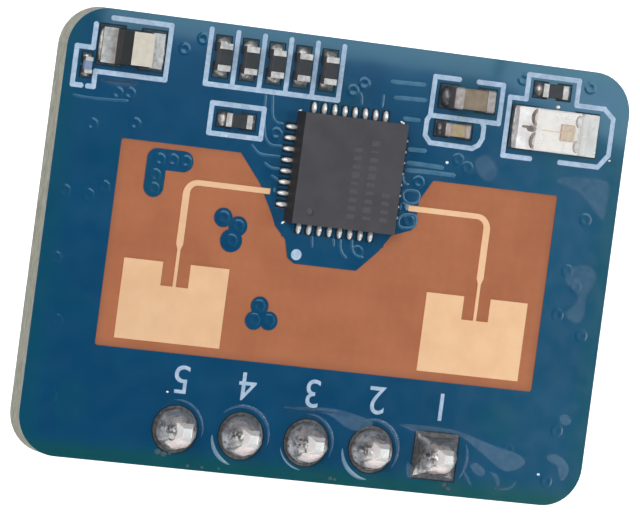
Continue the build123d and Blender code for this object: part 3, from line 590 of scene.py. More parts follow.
# Painted shade: the accent's warm patches stand for shadows at the lamp's left end.
SILVER = LampSilverFinish(
    "lamp_silver_plating", Slot.SILVER, (255, 252, 250), (222, 212, 211), 0.42, (0.26, 0.38), (0.05, 0.0006),
    lumps=(0.3, 0.002), metallic=0.2,
)
# Also a sheet of painted shade round the lamp's electrode lobes.
MARK_AND_SHADE_GREY = Finish(
    "lamp_mark_metal_and_painted_shade", Slot.SILVER, (150, 138, 132), (104, 94, 90), 0.12, (0.25, 0.45), (0.04, 0.002), metallic=0.35
)
DIE = Finish("lamp_die_crystal", Slot.DIE, (255, 236, 198), (252, 216, 164), 0.1, (0.3, 0.45), (0.03, 0.001))
DIE_EDGE = Finish("lamp_die_rim", Slot.DIE, (170, 112, 70), (140, 92, 60), 0.1, (0.3, 0.5), (0.03, 0.001))
RESIN = ResinFinish("clear_cast_resin", Slot.RESIN, (246, 243, 240), (240, 236, 232), 0.4, (0.06, 0.14), (0.1, 0.0008))
CAN = Finish(
    "crystal_lid_nickel", Slot.CAN, (206, 204, 200), (186, 184, 180), 0.5, (0.28, 0.4), (0.05, 0.001), metallic=0.9
)
CHIP_MARK = Finish(
    "laser_mark_grey", Slot.EPOXY, (84, 84, 87), (77, 77, 80), 0.1, (0.55, 0.7), (0.03, 0.002), specular=0.3
)


# ---------------------------------------------------------------- places and pieces


@dataclass(frozen=True)
class Board:
    """The board's middle and its heights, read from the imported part."""

    middle: Vector
    front: float
    seat: float
    back: float

    @classmethod
    def from_frame(cls) -> "Board":
        """Read the places from the boxes of the masks and the lands."""
        low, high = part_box("front_solder_mask")
        middle = Vector(((low.x + high.x) / 2, (low.y + high.y) / 2, 0.0))
        return cls(middle, high.z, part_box("front_lands")[1].z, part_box("back_solder_mask")[0].z)

    def spot(self, x: float, y: float, height: float = 0.0) -> Vector:
        """A place over the front mask."""
        return self.middle + Vector((x * MM, y * MM, self.front + height * MM))

    def under(self, x: float, y: float) -> Vector:
        """A place on the back mask, with X as it is seen from behind."""
        return self.middle + Vector((-x * MM, y * MM, self.back))


def middle_of(node: str) -> Vector:
    """The middle of a CAD node's box."""
    low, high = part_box(node)
    return (low + high) / 2


def put(name: str, data: bpy.types.ID) -> bpy.types.Object:
    """Make an object of its data and link it to the scene.

    Args:
        name: Name of the object.
        data: Its mesh, lamp or camera.

    Returns:
        The new object.
    """
    made = bpy.data.objects.new(name, data)
    bpy.context.scene.collection.objects.link(made)
    return made


def mesh_of(work: Work, name: str, material: bpy.types.Material) -> bpy.types.Mesh:
    """Turn mesh work into a mesh with its material.

    Args:
        work: The mesh work. It is freed.
        name: Name of the mesh.
        material: Its material.

    Returns:
        The new mesh.
    """
    mesh = bpy.data.meshes.new(name)
    work.to_mesh(mesh)
    work.free()
    mesh.materials.append(material)
    return mesh


class PieceShop:
    """Makes meshes into pieces that ride on the part, and dresses the part's own nodes."""

    def __init__(self, board: Board) -> None:
        """Keep the board that the pieces go on."""
        self.board = board

    def hand_over(
        self, work: Work, name: str, finish: Finish, smooth: bool = True, stands_for: Sequence[str] = ()
    ) -> None:
        """Turn finished mesh work into a piece of the model.

        Args:
            work: The mesh, in the part's frame. It is freed.
            name: Name of the piece.
            finish: Its finish.
            smooth: Whether its faces are shaded smooth.
            stands_for: CAD nodes that it replaces.
        """
        bmesh.ops.remove_doubles(work, verts=work.verts, dist=SAME_PLACE)
        bmesh.ops.recalc_face_normals(work, faces=work.faces)
        for face in work.faces:
            face.smooth = smooth
        piece = put(name, mesh_of(work, name, finish.material()))
        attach(piece, BODY)
        if stands_for:
            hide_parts(*stands_for)
        log.info("piece %s: %d faces", name, len(piece.data.polygons))

    def dress(self, finish: Finish, *nodes: str, edge: float = 0.0) -> None:
        """Give CAD nodes their finish, and soften their edges where asked.

        Args:
            finish: The finish.
            nodes: Names of the nodes.
            edge: Width of the rounding on their edges, 0 for none.
        """
        for node in nodes:
            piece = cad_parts[node]
            piece.data.materials.clear()
            piece.data.materials.append(finish.material())
            if edge > 0:
                piece.modifiers.new("joined", "WELD").merge_threshold = SAME_PLACE
                rounding = piece.modifiers.new("softened", "BEVEL")
                rounding.width = edge * MM
                rounding.segments = EDGE_STEPS
                rounding.limit_method = "ANGLE"
                rounding.angle_limit = EDGE_ANGLE
            log.info("dressed %s in %s", node, finish.name)


def add_block(work: Work, centre: Vector, size: Sequence[float]) -> Verts:
    """Add a block with its sides along the axes, its size in metres."""
    shape = Matrix.Translation(centre) @ Matrix.Diagonal((*size, 1.0))
    return bmesh.ops.create_cube(work, size=1.0, matrix=shape)["verts"]


def edges_of(verts: Iterable[bmesh.types.BMVert]) -> list[bmesh.types.BMEdge]:
    """All edges at some vertices, each once."""
    return list(dict.fromkeys(edge for vert in verts for edge in vert.link_edges))


def bead(work: Work, centre: Vector, radii: Sequence[float], turn: float = 0.0, rings: int = 3) -> Verts:
    """Add a rounded bead: a ball drawn out along its three axes.

    Args:
        work: Mesh to add to.
        centre: Its middle.
        radii: Half sizes along its own X, Y and Z.
        turn: Turn about Z in radians.
        rings: Fineness of the ball.

    Returns:
        The vertices of the bead.
    """
    stretch = Matrix.Diagonal((*(radius * MM for radius in radii), 1.0))
    shape = Matrix.Translation(centre) @ Matrix.Rotation(turn, 4, "Z") @ stretch
    return bmesh.ops.create_icosphere(work, subdivisions=rings, radius=1.0, matrix=shape)["verts"]


def roughen(verts: Iterable[bmesh.types.BMVert], size: float, reach: float, seed: float) -> None:
    """Move vertices a little by smooth noise, the same way on each run, as main sets its seed.

    Args:
        verts: Vertices to move.
        size: Size of a lump.
        reach: Furthest move.
        seed: Offset of the noise, so that like pieces differ.
    """
    shift = Vector((seed * 3.7, seed * 1.9, seed * 5.3))
    for vert in verts:
        vert.co += noise.noise_vector(vert.co / (size * MM) + shift) * (reach * MM)


def spin_profile(
    work: Work, centre: Vector, outline: Line, steps: int, start: float = 0.0, sweep: float = math.tau
) -> Verts:
    """Spin a profile of radius and height round an upright axis.

    Args:
        work: Mesh to add to.
        centre: Foot of the axis.
        outline: Points of radius and height along the profile.
        steps: Divisions of the turn.
        start: Where the turn begins, in radians from +X.
        sweep: How far it goes round, in radians.

    Returns:
        The new vertices.
    """
    before = set(work.verts)
    first, whole = Matrix.Rotation(start, 3, "Z"), sweep == math.tau
    points = [work.verts.new(centre + first @ Vector((r * MM, 0.0, z * MM))) for r, z in outline]
    edges = [work.edges.new(pair) for pair in zip(points, points[1:])]
    bmesh.ops.spin(
        work, geom=points + edges, cent=centre, axis=(0, 0, 1), angle=sweep, steps=steps, use_merge=whole
    )
    made = [vert for vert in work.verts if vert not in before]
    bmesh.ops.remove_doubles(work, verts=made, dist=SAME_PLACE)
    return [vert for vert in work.verts if vert not in before]


def add_line(curve: bpy.types.Curve, places: Sequence[Vector], smooth: bool, closed: bool) -> None:
    """Add one line to a curve, laid flat at height 0. An open smooth line narrows at its two ends.

    Args:
        curve: Curve to add to.
        places: Points of the line.
        smooth: Whether it runs in curves past its points.
        closed: Whether it runs back to its start.
    """
    spline = curve.splines.new("NURBS" if smooth else "POLY")
    pointed = smooth and not closed
    if pointed:
        ends = []
        for foot, after in ((places[0], places[1]), (places[-1], places[-2])):
            step = (after - foot).normalized() * (TAPER_LENGTH * MM)
            ends.append([foot + step * n for n in (0, 1, 2)])
        places = [*ends[0], *places[1:-1], *reversed(ends[1])]
    spline.points.add(len(places) - 1)
    for point, place in zip(spline.points, places):
        point.co = (place.x, place.y, 0.0, 1.0)
    if smooth:
        spline.order_u = 3
        spline.use_endpoint_u = not closed
    if pointed:
        spline.points[0].radius = spline.points[-1].radius = TAPER_WIDTH
    spline.use_cyclic_u = closed


def add_curve(work: Work, curve: bpy.types.Curve, move: Matrix) -> None:
    """Make a curve or a text into mesh work, put it in its place, and drop the curve.

    Args:
        work: Mesh to add to.
        curve: The curve or the text.
        move: From the curve's place to its place in the part's frame.
    """
    carrier = bpy.data.objects.new("curve_carrier", curve)
    mesh = bpy.data.meshes.new_from_object(carrier)
    mesh.transform(move)
    work.from_mesh(mesh)
    bpy.data.objects.remove(carrier)
    bpy.data.curves.remove(curve)
    bpy.data.meshes.remove(mesh)


def ridge_mesh(lines: Sequence[Sequence[Vector]], half_width: float, height: float, smooth: bool = True) -> Work:
    """Low rounded ridges along lines that lie on the board.

    Args:
        lines: Lines in the part's frame, all at one height. One that ends where it starts is a loop.
        half_width: Half the ridge's width.
        height: Height of its crown.
        smooth: Whether the lines run in curves past their points.

    Returns:
        A new mesh with all the ridges.
    """
    curve = bpy.data.curves.new("ridge_lines", "CURVE")
    curve.dimensions = "3D"
    curve.bevel_depth = half_width * MM
    curve.bevel_resolution = 2
    curve.use_fill_caps = True
    curve.resolution_u = CURVE_STEPS
    for line in lines:
        closed = line[0] == line[-1]
        add_line(curve, line[:-1] if closed else line, smooth, closed)
    work = bmesh.new()
    flatten = Matrix.Diagonal((1.0, 1.0, height / half_width, 1.0))
    add_curve(work, curve, Matrix.Translation((0.0, 0.0, lines[0][0].z)) @ flatten)
    return work


def dimple_mesh(places: Iterable[Vector], heights: Iterable[float]) -> Work:
    """Low rings with a dimple, where the mask closes plated holes.

    Args:
        places: Middle of each on its mask.
        heights: Height of each ring, below 0 on the back.

    Returns:
        A new mesh with all the rings.
    """
    work = bmesh.new()
    for centre, height in zip(places, heights):
        spin_profile(work, centre, [(r * VIA_RADIUS, h * height) for r, h in VIA_PROFILE], VIA_STEPS)
    return work


# ---------------------------------------------------------------- sub-assemblies


@dataclass
class MaskField:
    """The two masks, and what shows through the front one: tracks, filled vias and flux."""

    shop: PieceShop
    track_half_width: float = 0.06
    broad_half_width: float = 0.095
    track_height: float = 0.0045
    broad_height: float = 0.0015
    via_height: float = 0.003
    calm_height: float = 0.0018
    calm_side: float = 4.0
    tracks: Sequence[Line] = (
        ((-2.44, 4.70), (-2.74, 4.71), (-2.93, 4.90), (-2.97, 5.2), (-3.03, 5.71)),
        ((-2.36, 3.90), (-2.82, 3.89), (-2.98, 3.97), (-3.14, 4.18), (-3.26, 4.9), (-3.30, 5.68)),
        ((-2.40, 3.53), (-3.21, 3.51), (-3.40, 3.64), (-3.61, 3.85)),
        ((-2.36, 3.09), (-2.71, 3.08), (-2.88, 3.16), (-3.03, 3.27)),
        ((-2.35, 2.66), (-2.57, 2.77), (-2.72, 2.83)),
        ((1.23, 5.71), (1.23, 6.22)),
        ((0.42, 5.71), (0.40, 6.00), (0.30, 6.2)),
        ((-0.82, 0.84), (-0.76, 0.39)),
        ((0.02, 0.85), (0.07, 0.52)),
        ((0.29, 0.87), (0.33, 0.50), (0.46, 0.30), (0.64, 0.17)),
        ((0.74, 0.88), (0.77, 0.60), (0.86, 0.38), (1.02, 0.30), (1.28, 0.28)),
        ((-10.58, 4.81), (-10.12, 4.76), (-9.28, 4.78), (-8.44, 4.83)),
        ((2.41, 3.40), (2.40, 3.22), (2.50, 3.10), (2.68, 3.10)),
    )
    broad_tracks: Sequence[Line] = (
        ((2.42, 4.36), (3.20, 4.37)),
        ((2.44, 3.86), (3.00, 3.87), (3.96, 3.84)),
        ((2.44, 3.60), (3.42, 3.63), (4.45, 3.62)),
        ((1.62, 6.14), (2.95, 6.20)),
        ((1.41, 6.70), (2.84, 6.74)),
        ((2.09, 5.44), (2.80, 5.44)),
    )
    loops: Sequence[Line] = (
        ((2.46, 2.86), (2.98, 2.92), (3.14, 2.78), (3.12, 2.54), (2.96, 2.42), (2.70, 2.42), (2.50, 2.56)),
        ((2.50, 1.98), (3.00, 2.04), (3.14, 1.94), (3.12, 1.64), (2.96, 1.54), (2.56, 1.50), (2.42, 1.66)),
        ((2.46, 2.38), (2.66, 2.38), (2.72, 2.22), (2.60, 2.10), (2.44, 2.14)),
    )
    vias: Line = (
        (-9.7, 3.85), (-8.1, 4.05), (-10.4, 1.4), (-9.5, 1.35), (-8.95, 1.7), (-10.4, -1.0),
        (-10.05, -3.2), (-9.9, -5.85), (-6.6, 6.9), (-5.95, 7.35), (6.6, 7.4), (9.3, 7.4),
        (3.02, 3.22), (-7.0, 2.9), (-6.5, 2.93), (-6.0, 2.93), (-7.1, 2.33), (-7.1, 1.85),
        (-4.3, 1.12), (-3.7, 0.87), (-3.89, 0.33), (-2.5, -1.9), (-2.62, -2.4), (-2.05, -2.38),
        (2.84, 1.78), (-2.71, 4.32), (0.02, 6.20), (4.45, 4.2), (4.85, 3.95), (-8.9, 5.05), (-8.45, 5.1),
        (-2.0, 6.35), (9.77, 0.1), (9.19, -1.0), (9.35, 0.65), (10.25, -1.66), (9.8, 2.59),
        (9.62, -7.11), (9.78, -5.21), (7.94, -6.09), (0.42, 6.5), (1.0, 0.45),
    )
    specks: Sequence[Triple] = (
        (4.04, 4.05, 0.07), (8.12, 6.55, 0.09), (9.29, -6.88, 0.06), (-5.55, -5.3, 0.05), (10.45, 4.85, 0.05),
        (-4.6, 4.02, 0.05),
    )
    residue: Sequence[Triple] = (
        (-5.62, -7.46, 0.13), (-5.38, -7.52, 0.12), (-5.16, -7.48, 0.07), (-4.42, -7.86, 0.07), (-3.86, -7.86, 0.07),
        (-3.22, -7.85, 0.06), (1.12, -7.8, 0.09), (1.3, -7.82, 0.07), (5.6, -7.62, 0.11), (5.78, -7.74, 0.10),
    )

    def build(self) -> None:
        """Dress the masks and add the relief on them. The vias are calmer on the right."""
        self.shop.dress(MASK, "front_solder_mask", "back_solder_mask")
        spot = self.shop.board.spot
        closed = ((*loop, loop[0]) for loop in self.loops)
        lines = [[spot(*place) for place in line] for line in (*self.tracks, *closed)]
        work = ridge_mesh(lines, self.track_half_width, self.track_height)
        self.shop.hand_over(work, "front_tracks_under_mask", TRACK)
        broad = [[spot(*place) for place in track] for track in self.broad_tracks]
        work = ridge_mesh(broad, self.broad_half_width, self.broad_height)
        self.shop.hand_over(work, "broad_tracks_under_mask", SHEEN_BROAD_TRACK)
        heights = (self.calm_height if x > self.calm_side else self.via_height for x, _ in self.vias)
        work = dimple_mesh((spot(*via) for via in self.vias), heights)
        self.shop.hand_over(work, "filled_via_dimples", MASK)
        self.add_dots(self.specks, "solder_specks", BEAD, 0.5)
        self.add_dots(self.residue, "edge_residue", RESIDUE, 0.06)

    def add_dots(self, dots: Sequence[Triple], name: str, finish: Finish, height_share: float) -> None:
        """Small uneven dots on the mask.

        Args:
            dots: Place and radius of each.
            name: Name of the piece.
            finish: Its finish.
            height_share: Height as a share of the radius.
        """
        work = bmesh.new()
        for x, y, radius in dots:
            made = bead(work, self.shop.board.spot(x, y), (radius, radius * 0.8, radius * height_share), rings=2)
            roughen(made, 0.08, 0.03 * height_share, x)
        self.shop.hand_over(work, name, finish)


@dataclass
class AntennaField:
    """Bare laminate window with the two gold antennas and the mask over the feeds' last end."""

    shop: PieceShop
    cover: Triple = (0.28 * MM, 0.30 * MM, 0.012 * MM)
    cover_rounding: float = 0.004 * MM
    feed_middle: float = 0.1 * MM

    def build(self) -> None:
        """Dress the laminate and the antennas, and cover the ends of the feeds."""
        self.shop.dress(LAMINATE, "circuit_board")
        self.shop.dress(GOLD, "left_patch_antenna", "right_patch_antenna")
        self.shop.dress(SHADED_LAND, "front_lands", "back_lands")
        self.shop.dress(HOLE_RIM, "header_hole_plating")
        length, _, height = self.cover
        work = bmesh.new()
        for node, inner, side in (("left_patch_antenna", 1, -1), ("right_patch_antenna", 0, 1)):
            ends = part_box(node)
            x, y = ends[inner].x + side * length / 2, ends[1].y - self.feed_middle
            block = add_block(work, Vector((x, y, self.shop.board.front + height / 2)), self.cover)
            bmesh.ops.bevel(
                work, geom=edges_of(block), offset=self.cover_rounding, offset_type="OFFSET", segments=2, profile=0.5,
                affect="EDGES", material=-1,
            )
        self.shop.hand_over(work, "feed_end_covers", MASK)


@dataclass
class HeaderJoints:
    """Header strip, pins and their soldered cones, with numbers above them."""

    shop: PieceShop
    ways: int = 5
    cone_steps: int = 48
    cone_tip: Line = ((0.0, 0.02), (0.26, 0.01), (0.40, -0.05))
    cone_rise: Line = ((0.50, 0.81), (0.58, 0.62), (0.645, 0.42), (0.695, 0.25), (0.73, 0.13), (0.75, 0.055))
    hole_radius: float = 0.515
    round_margin: float = 0.08
    numeral_height: float = 1.02
    numeral_top: float = -5.33
    numeral_thickness: float = 0.012
    capital_share: float = 0.7
    flux_height: float = 0.02
    flux_steps: int = 24
    flux_section: Line = ((-0.5, -0.002), (-0.3, 0.55), (0.0, 1.0), (0.3, 0.55), (0.5, -0.002))
    flux_and_sheen_rims: Sequence[tuple[int, float, float, float, float]] = (
        (5, -10, 110, 1.06, 0.10),
        (4, -15, 150, 1.08, 0.14),
        (4, 183, 72, 1.10, 0.15),
        (3, -25, 120, 1.04, 0.12),
        (3, 195, 70, 1.00, 0.07),
        (2, -35, 150, 1.08, 0.16),
        (2, 183, 86, 1.10, 0.16),
        (1, -35, 60, 1.30, 0.12),
    )

    def build(self) -> None:
        """Dress the header and add its solder and numbers."""
        self.shop.dress(STRIP, "header_strip", edge=0.05)
        for n in range(1, self.ways + 1):
            self.shop.dress(PIN, f"header_pin_{n}", edge=0.03)
            self.add_cone(n)
        self.add_flux_and_sheen_rims()
        self.add_numbers()

    def add_cone(self, number: int) -> None:
        """One joint: solder from the ring up the pin, a little uneven, and down through the hole.

        Args:
            number: Pin number. The first pin has a square land.
        """
        low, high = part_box(f"solder_joint_{number}")
        foot = middle_of(f"solder_joint_{number}")
        foot.z = 0.0
        square = number == 1
        radius = (high.x - low.x) / 2 / MM - (0.0 if square else self.round_margin)
        seat = self.shop.board.seat
        base, top, bottom = seat / MM, high.z / MM, low.z / MM
        rise = top - base
        work = bmesh.new()
        made = spin_profile(work, foot, [
            *((r, top + step) for r, step in self.cone_tip), *((r, base + rise * share) for r, share in self.cone_rise),
            (radius, base + 0.012), (radius, base), (self.hole_radius, base), (self.hole_radius, bottom), (0.0, bottom),
        ], self.cone_steps)
        for vert in made:
            share = min(1.0, max(0.0, (vert.co.z / MM - base) / rise))
            out = Vector((vert.co.x - foot.x, vert.co.y - foot.y, 0.0))
            if out.length < 0.52 * MM and vert.co.z < seat + 1e-6:
                continue
            if square and out.length > 1e-6:
                corner = out.length / max(abs(out.x), abs(out.y))
                out *= 1.0 + (1.0 - share) ** 1.5 * (0.82 * corner**1.5 - 1.0)
            vert.co.x, vert.co.y = foot.x + out.x, foot.y + out.y
            if vert.co.z > seat + 0.03 * MM:
                vert.co += noise.noise_vector(vert.co / (0.40 * MM) + Vector((number * 7.1, 0, 0))) * 0.07 * MM
        finish = SQUARE_JOINT if square else JOINT
        self.shop.hand_over(work, f"solder_cone_{number}", finish, stands_for=[f"solder_joint_{number}"])

    def add_flux_and_sheen_rims(self) -> None:
        """Crescents of lacquer and flux that stand up round the soldered rings, painted pale as painted sheen, and the
        lower-left ones brighter as a painted highlight.
        """
        soft, bright = bmesh.new(), bmesh.new()
        for pin, start, sweep, radius, width in self.flux_and_sheen_rims:
            foot = middle_of(f"header_pin_{pin}")
            foot.z = self.shop.board.front
            # Painted highlight: the lower-left crescents go in the brighter finish.
            work = bright if start > 90 else soft
            self.add_crescent(work, foot, (math.radians(start), math.radians(sweep)), radius, width)
        self.shop.hand_over(soft, "crescents_of_flux_and_sheen", CREST)
        self.shop.hand_over(bright, "crescents_of_flux_and_highlight", BRIGHT_CREST)

    def add_crescent(self, work: Work, foot: Vector, turn: Point, radius: float, width: float) -> None:
        """One crescent: a low arched section swept round a pin and drawn in to a point at both ends.

        Args:
            work: Mesh to add to.
            foot: Middle of the pin, on the mask.
            turn: Where the crescent begins and how far it goes round, in radians.
            radius: Radius of its crest.
            width: Its width.
        """
        start, sweep = turn
        section = [(radius + across * width, up * self.flux_height) for across, up in self.flux_section]
        crest = radius * MM
        for vert in spin_profile(work, foot, section, self.flux_steps, start, sweep):
            out = Vector((vert.co.x - foot.x, vert.co.y - foot.y, 0.0))
            turned = (math.atan2(out.y, out.x) - start) % math.tau
            share = math.sin(math.pi * min(1.0, max(0.0, turned / sweep if turned < sweep + 0.2 else 0.0)))
            fullness = max(0.02, share) ** 0.6
            out *= (crest + (out.length - crest) * fullness) / out.length
            vert.co = Vector((foot.x + out.x, foot.y + out.y, foot.z + (vert.co.z - foot.z) * fullness))

    def add_numbers(self) -> None:
        """Plain pin numbers printed above the pins, read from the header's side."""
        work = bmesh.new()
        for n in range(1, self.ways + 1):
            words = bpy.data.curves.new("numeral", "FONT")
            words.body = str(n)
            words.size = self.numeral_height * MM / self.capital_share
            words.align_x = "CENTER"
            words.extrude = self.numeral_thickness * MM / 2
            place = self.shop.board.spot(0.0, self.numeral_top + self.numeral_height, self.numeral_thickness / 2)
            place.x = middle_of(f"header_pin_{n}").x
            add_curve(work, words, Matrix.Translation(place) @ Matrix.Rotation(math.pi, 4, "Z"))
        self.shop.hand_over(work, "pin_numbers", PRINT, smooth=False)


@dataclass
class FluxAndSheenFilm:
    """Thin films of flux and lacquer by the first pin, round some vias and along the right edge; their paleness is
    painted sheen.
    """

    shop: PieceShop
    thickness: float = 0.004 * MM
    header_rim: float = 0.045 * MM
    faint_rim: float = 0.13 * MM
    header_films: Sequence[Line] = (
        (
            (3.3, -5.56), (4.3, -5.5), (5.86, -5.54), (6.5, -5.75), (7.46, -6.0), (8.5, -6.2), (8.8, -6.5),
            (8.45, -6.8), (8.0, -6.95), (7.5, -6.75), (7.05, -6.4), (6.5, -6.1), (5.96, -5.74), (4.6, -5.72),
            (4.1, -5.84), (3.9, -5.74),
        ),
        ((6.45, -6.78), (6.7, -6.66), (6.95, -6.74), (7.22, -6.96), (7.1, -7.2), (6.75, -7.15)),
        ((7.2, -6.95), (7.6, -6.95), (7.85, -7.25), (7.76, -7.55), (7.62, -7.4), (7.55, -7.15)),
        ((6.24, -7.0), (6.45, -7.06), (6.78, -7.6), (6.6, -7.55), (6.38, -7.3)),
        (
            (9.45, -6.16), (9.87, -6.0), (10.4, -6.3), (10.55, -6.7), (10.3, -7.1), (10.1, -6.95),
            (10.02, -6.5), (9.6, -6.38),
        ),
        ((9.75, -4.66), (10.06, -4.52), (10.34, -4.7), (10.32, -4.98), (9.92, -5.02)),
        ((3.98, -6.85), (4.16, -6.95), (4.4, -7.13), (4.36, -7.5), (4.05, -7.52)),
        (
            (-1.56, -5.43), (0.14, -5.39), (0.93, -5.58), (1.56, -6.01), (2.22, -5.99), (2.65, -5.59), (2.05, -5.43),
            (0.87, -5.19),
        ),
        ((7.41, -7.52), (7.95, -7.5), (8.28, -7.40), (8.42, -7.12), (8.46, -7.35), (8.3, -7.54), (7.93, -7.64)),
    )
    faint_films: Sequence[Line] = (
        (
            (9.2, 0.46), (9.43, 0.88), (10.12, 1.06), (10.62, 0.73), (10.6, 0.24), (10.25, -0.2), (10.38, -0.75),
            (10.2, -1.28), (9.74, -1.26), (9.3, -0.86), (9.72, -0.6), (9.96, -0.2), (9.3, 0.15),
        ),
        (
            (8.42, 3.78), (8.4, 4.0), (8.75, 4.12), (9.5, 4.2), (10.6, 4.2), (10.66, 3.65), (10.62, 2.5),
            (10.21, 2.75), (9.48, 3.5), (8.8, 3.68),
        ),
        ((5.06, 4.0), (5.1, 4.38), (5.38, 4.58), (5.8, 4.48), (6.1, 4.13), (6.14, 3.76), (5.9, 3.5), (5.5, 3.5)),
        ((-9.76, 5.52), (-8.97, 5.62), (-8.0, 5.6), (-8.2, 5.36), (-8.80, 5.2), (-9.42, 5.3)),
    )

    def build(self) -> None:
        """Lay the films by the header as one piece, and the fainter ones as another."""
        self.lay(self.header_films, "pale_films_of_flux_and_sheen", FLUX_AND_SHEEN, self.header_rim)
        self.lay(self.faint_films, "faint_films_of_flux_and_sheen", HAZE, self.faint_rim)

    def lay(self, films: Sequence[Line], name: str, finish: Finish, rim: float) -> None:
        """Lay films with the given outlines. Each thins out towards its own edge.

        Args:
            films: Closed outlines.
            name: Name of the piece.
            finish: Its finish.
            rim: Width of the thin rim in metres.
        """
        curve = bpy.data.curves.new("film_outlines", "CURVE")
        curve.dimensions = "2D"
        curve.fill_mode = "BOTH"
        curve.extrude = self.thickness / 2
        curve.resolution_u = CURVE_STEPS
        for film in films:
            add_line(curve, [self.shop.board.spot(*place) for place in film], smooth=True, closed=True)
        work = bmesh.new()
        lift = self.shop.board.front + self.thickness / 4
        add_curve(work, curve, Matrix.Translation((0.0, 0.0, lift)))
        bmesh.ops.remove_doubles(work, verts=work.verts, dist=SAME_PLACE)
        share = work.verts.layers.float.new(FILM_SHARE)
        upper = [face for face in work.faces if min(vert.co.z for vert in face.verts) > lift]
        bmesh.ops.inset_region(work, faces=upper, thickness=rim, use_boundary=True, use_even_offset=False)
        for face in upper:
            for vert in face.verts:
                vert[share] = 1.0
        self.shop.hand_over(work, name, finish, smooth=False)


@dataclass
class RadarChip:
    """The chip without legs and the bright solder that shows round it."""

    shop: PieceShop
    per_side: int = 8
    pitch: float = 0.4
    bead_out: float = 0.17
    bead_lift: float = 0.04
    bead_radii: Triple = (0.225, 0.088, 0.15)
    corner_dots: Sequence[tuple[float, float, float, float]] = (
        (-1.0, -1.02, 0.09, 0.7), (1.05, 1.02, 0.10, -0.4), (-0.96, 1.0, 0.10, 0.6),
    )
    mark_rows: Sequence[Triple] = ((0.20, 1.72, 4.2), (0.82, 1.72, 4.6), (1.48, 1.72, 2.9))
    mark_step: float = 0.30
    mark_width: float = 0.30
    spot_place: Point = (-1.39, 1.73)

    def build(self) -> None:
        """Dress the chip and add a bead of solder at each terminal, and small ones at its corners."""
        self.shop.dress(EPOXY, "radar_chip_body", edge=0.02)
        self.shop.dress(TINNED, "radar_chip_terminals")
        low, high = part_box("radar_chip_body")
        centre, half = middle_of("radar_chip_body"), (high.x - low.x) / 2
        centre.z = self.shop.board.seat + self.bead_lift * MM
        work, dots = bmesh.new(), bmesh.new()
        for side in range(4):
            turn = side * math.pi / 2
            for n in range(self.per_side):
                along = (n - (self.per_side - 1) / 2) * self.pitch * MM
                step = Matrix.Rotation(turn, 3, "Z") @ Vector((half + self.bead_out * MM, along, 0.0))
                roughen(bead(work, centre + step, self.bead_radii, turn, rings=2), 0.3, 0.008, side * 9 + n)
        self.shop.hand_over(work, "radar_chip_solder_beads", BEAD, stands_for=["radar_chip_solder"])
        for x, y, length, turn in self.corner_dots:
            place = Vector((centre.x + x * half, centre.y + y * half, self.shop.board.front))
            bead(dots, place, (length, 0.045, 0.04), turn, rings=2)
        self.shop.hand_over(dots, "chip_corner_solder", BEAD)
        self.add_marks(high.z)

    def add_marks(self, face: float) -> None:
        """Faint plain bars and a spot on the chip's face, where such chips are laser marked.

        Args:
            face: Height of the chip's face.
        """
        work = bmesh.new()
        for x, low, high in self.mark_rows:
            y = low
            while y < high:
                wobble = noise.noise(Vector((x * 5.1, y * 2.3, 0.0)))
                place = self.shop.board.spot(x, y)
                place.z = face
                add_block(work, place, Vector((self.mark_width, 0.15 + 0.12 * wobble, 0.002)) * MM)
                y += self.mark_step
        spot = self.shop.board.spot(*self.spot_place)
        spot.z = face
        bead(work, spot, (0.11, 0.11, 0.003))
        self.shop.hand_over(work, "chip_face_marks", CHIP_MARK, smooth=False)


@dataclass(frozen=True)
class EndedPart:
    """A small part with a metal cap at each end, by its node names."""

    name: str
    body: Finish
    toe: float = 0.20
    climb: float = 0.5
    solder: Finish = DULL_SOLDER
    caps: Finish = TINNED


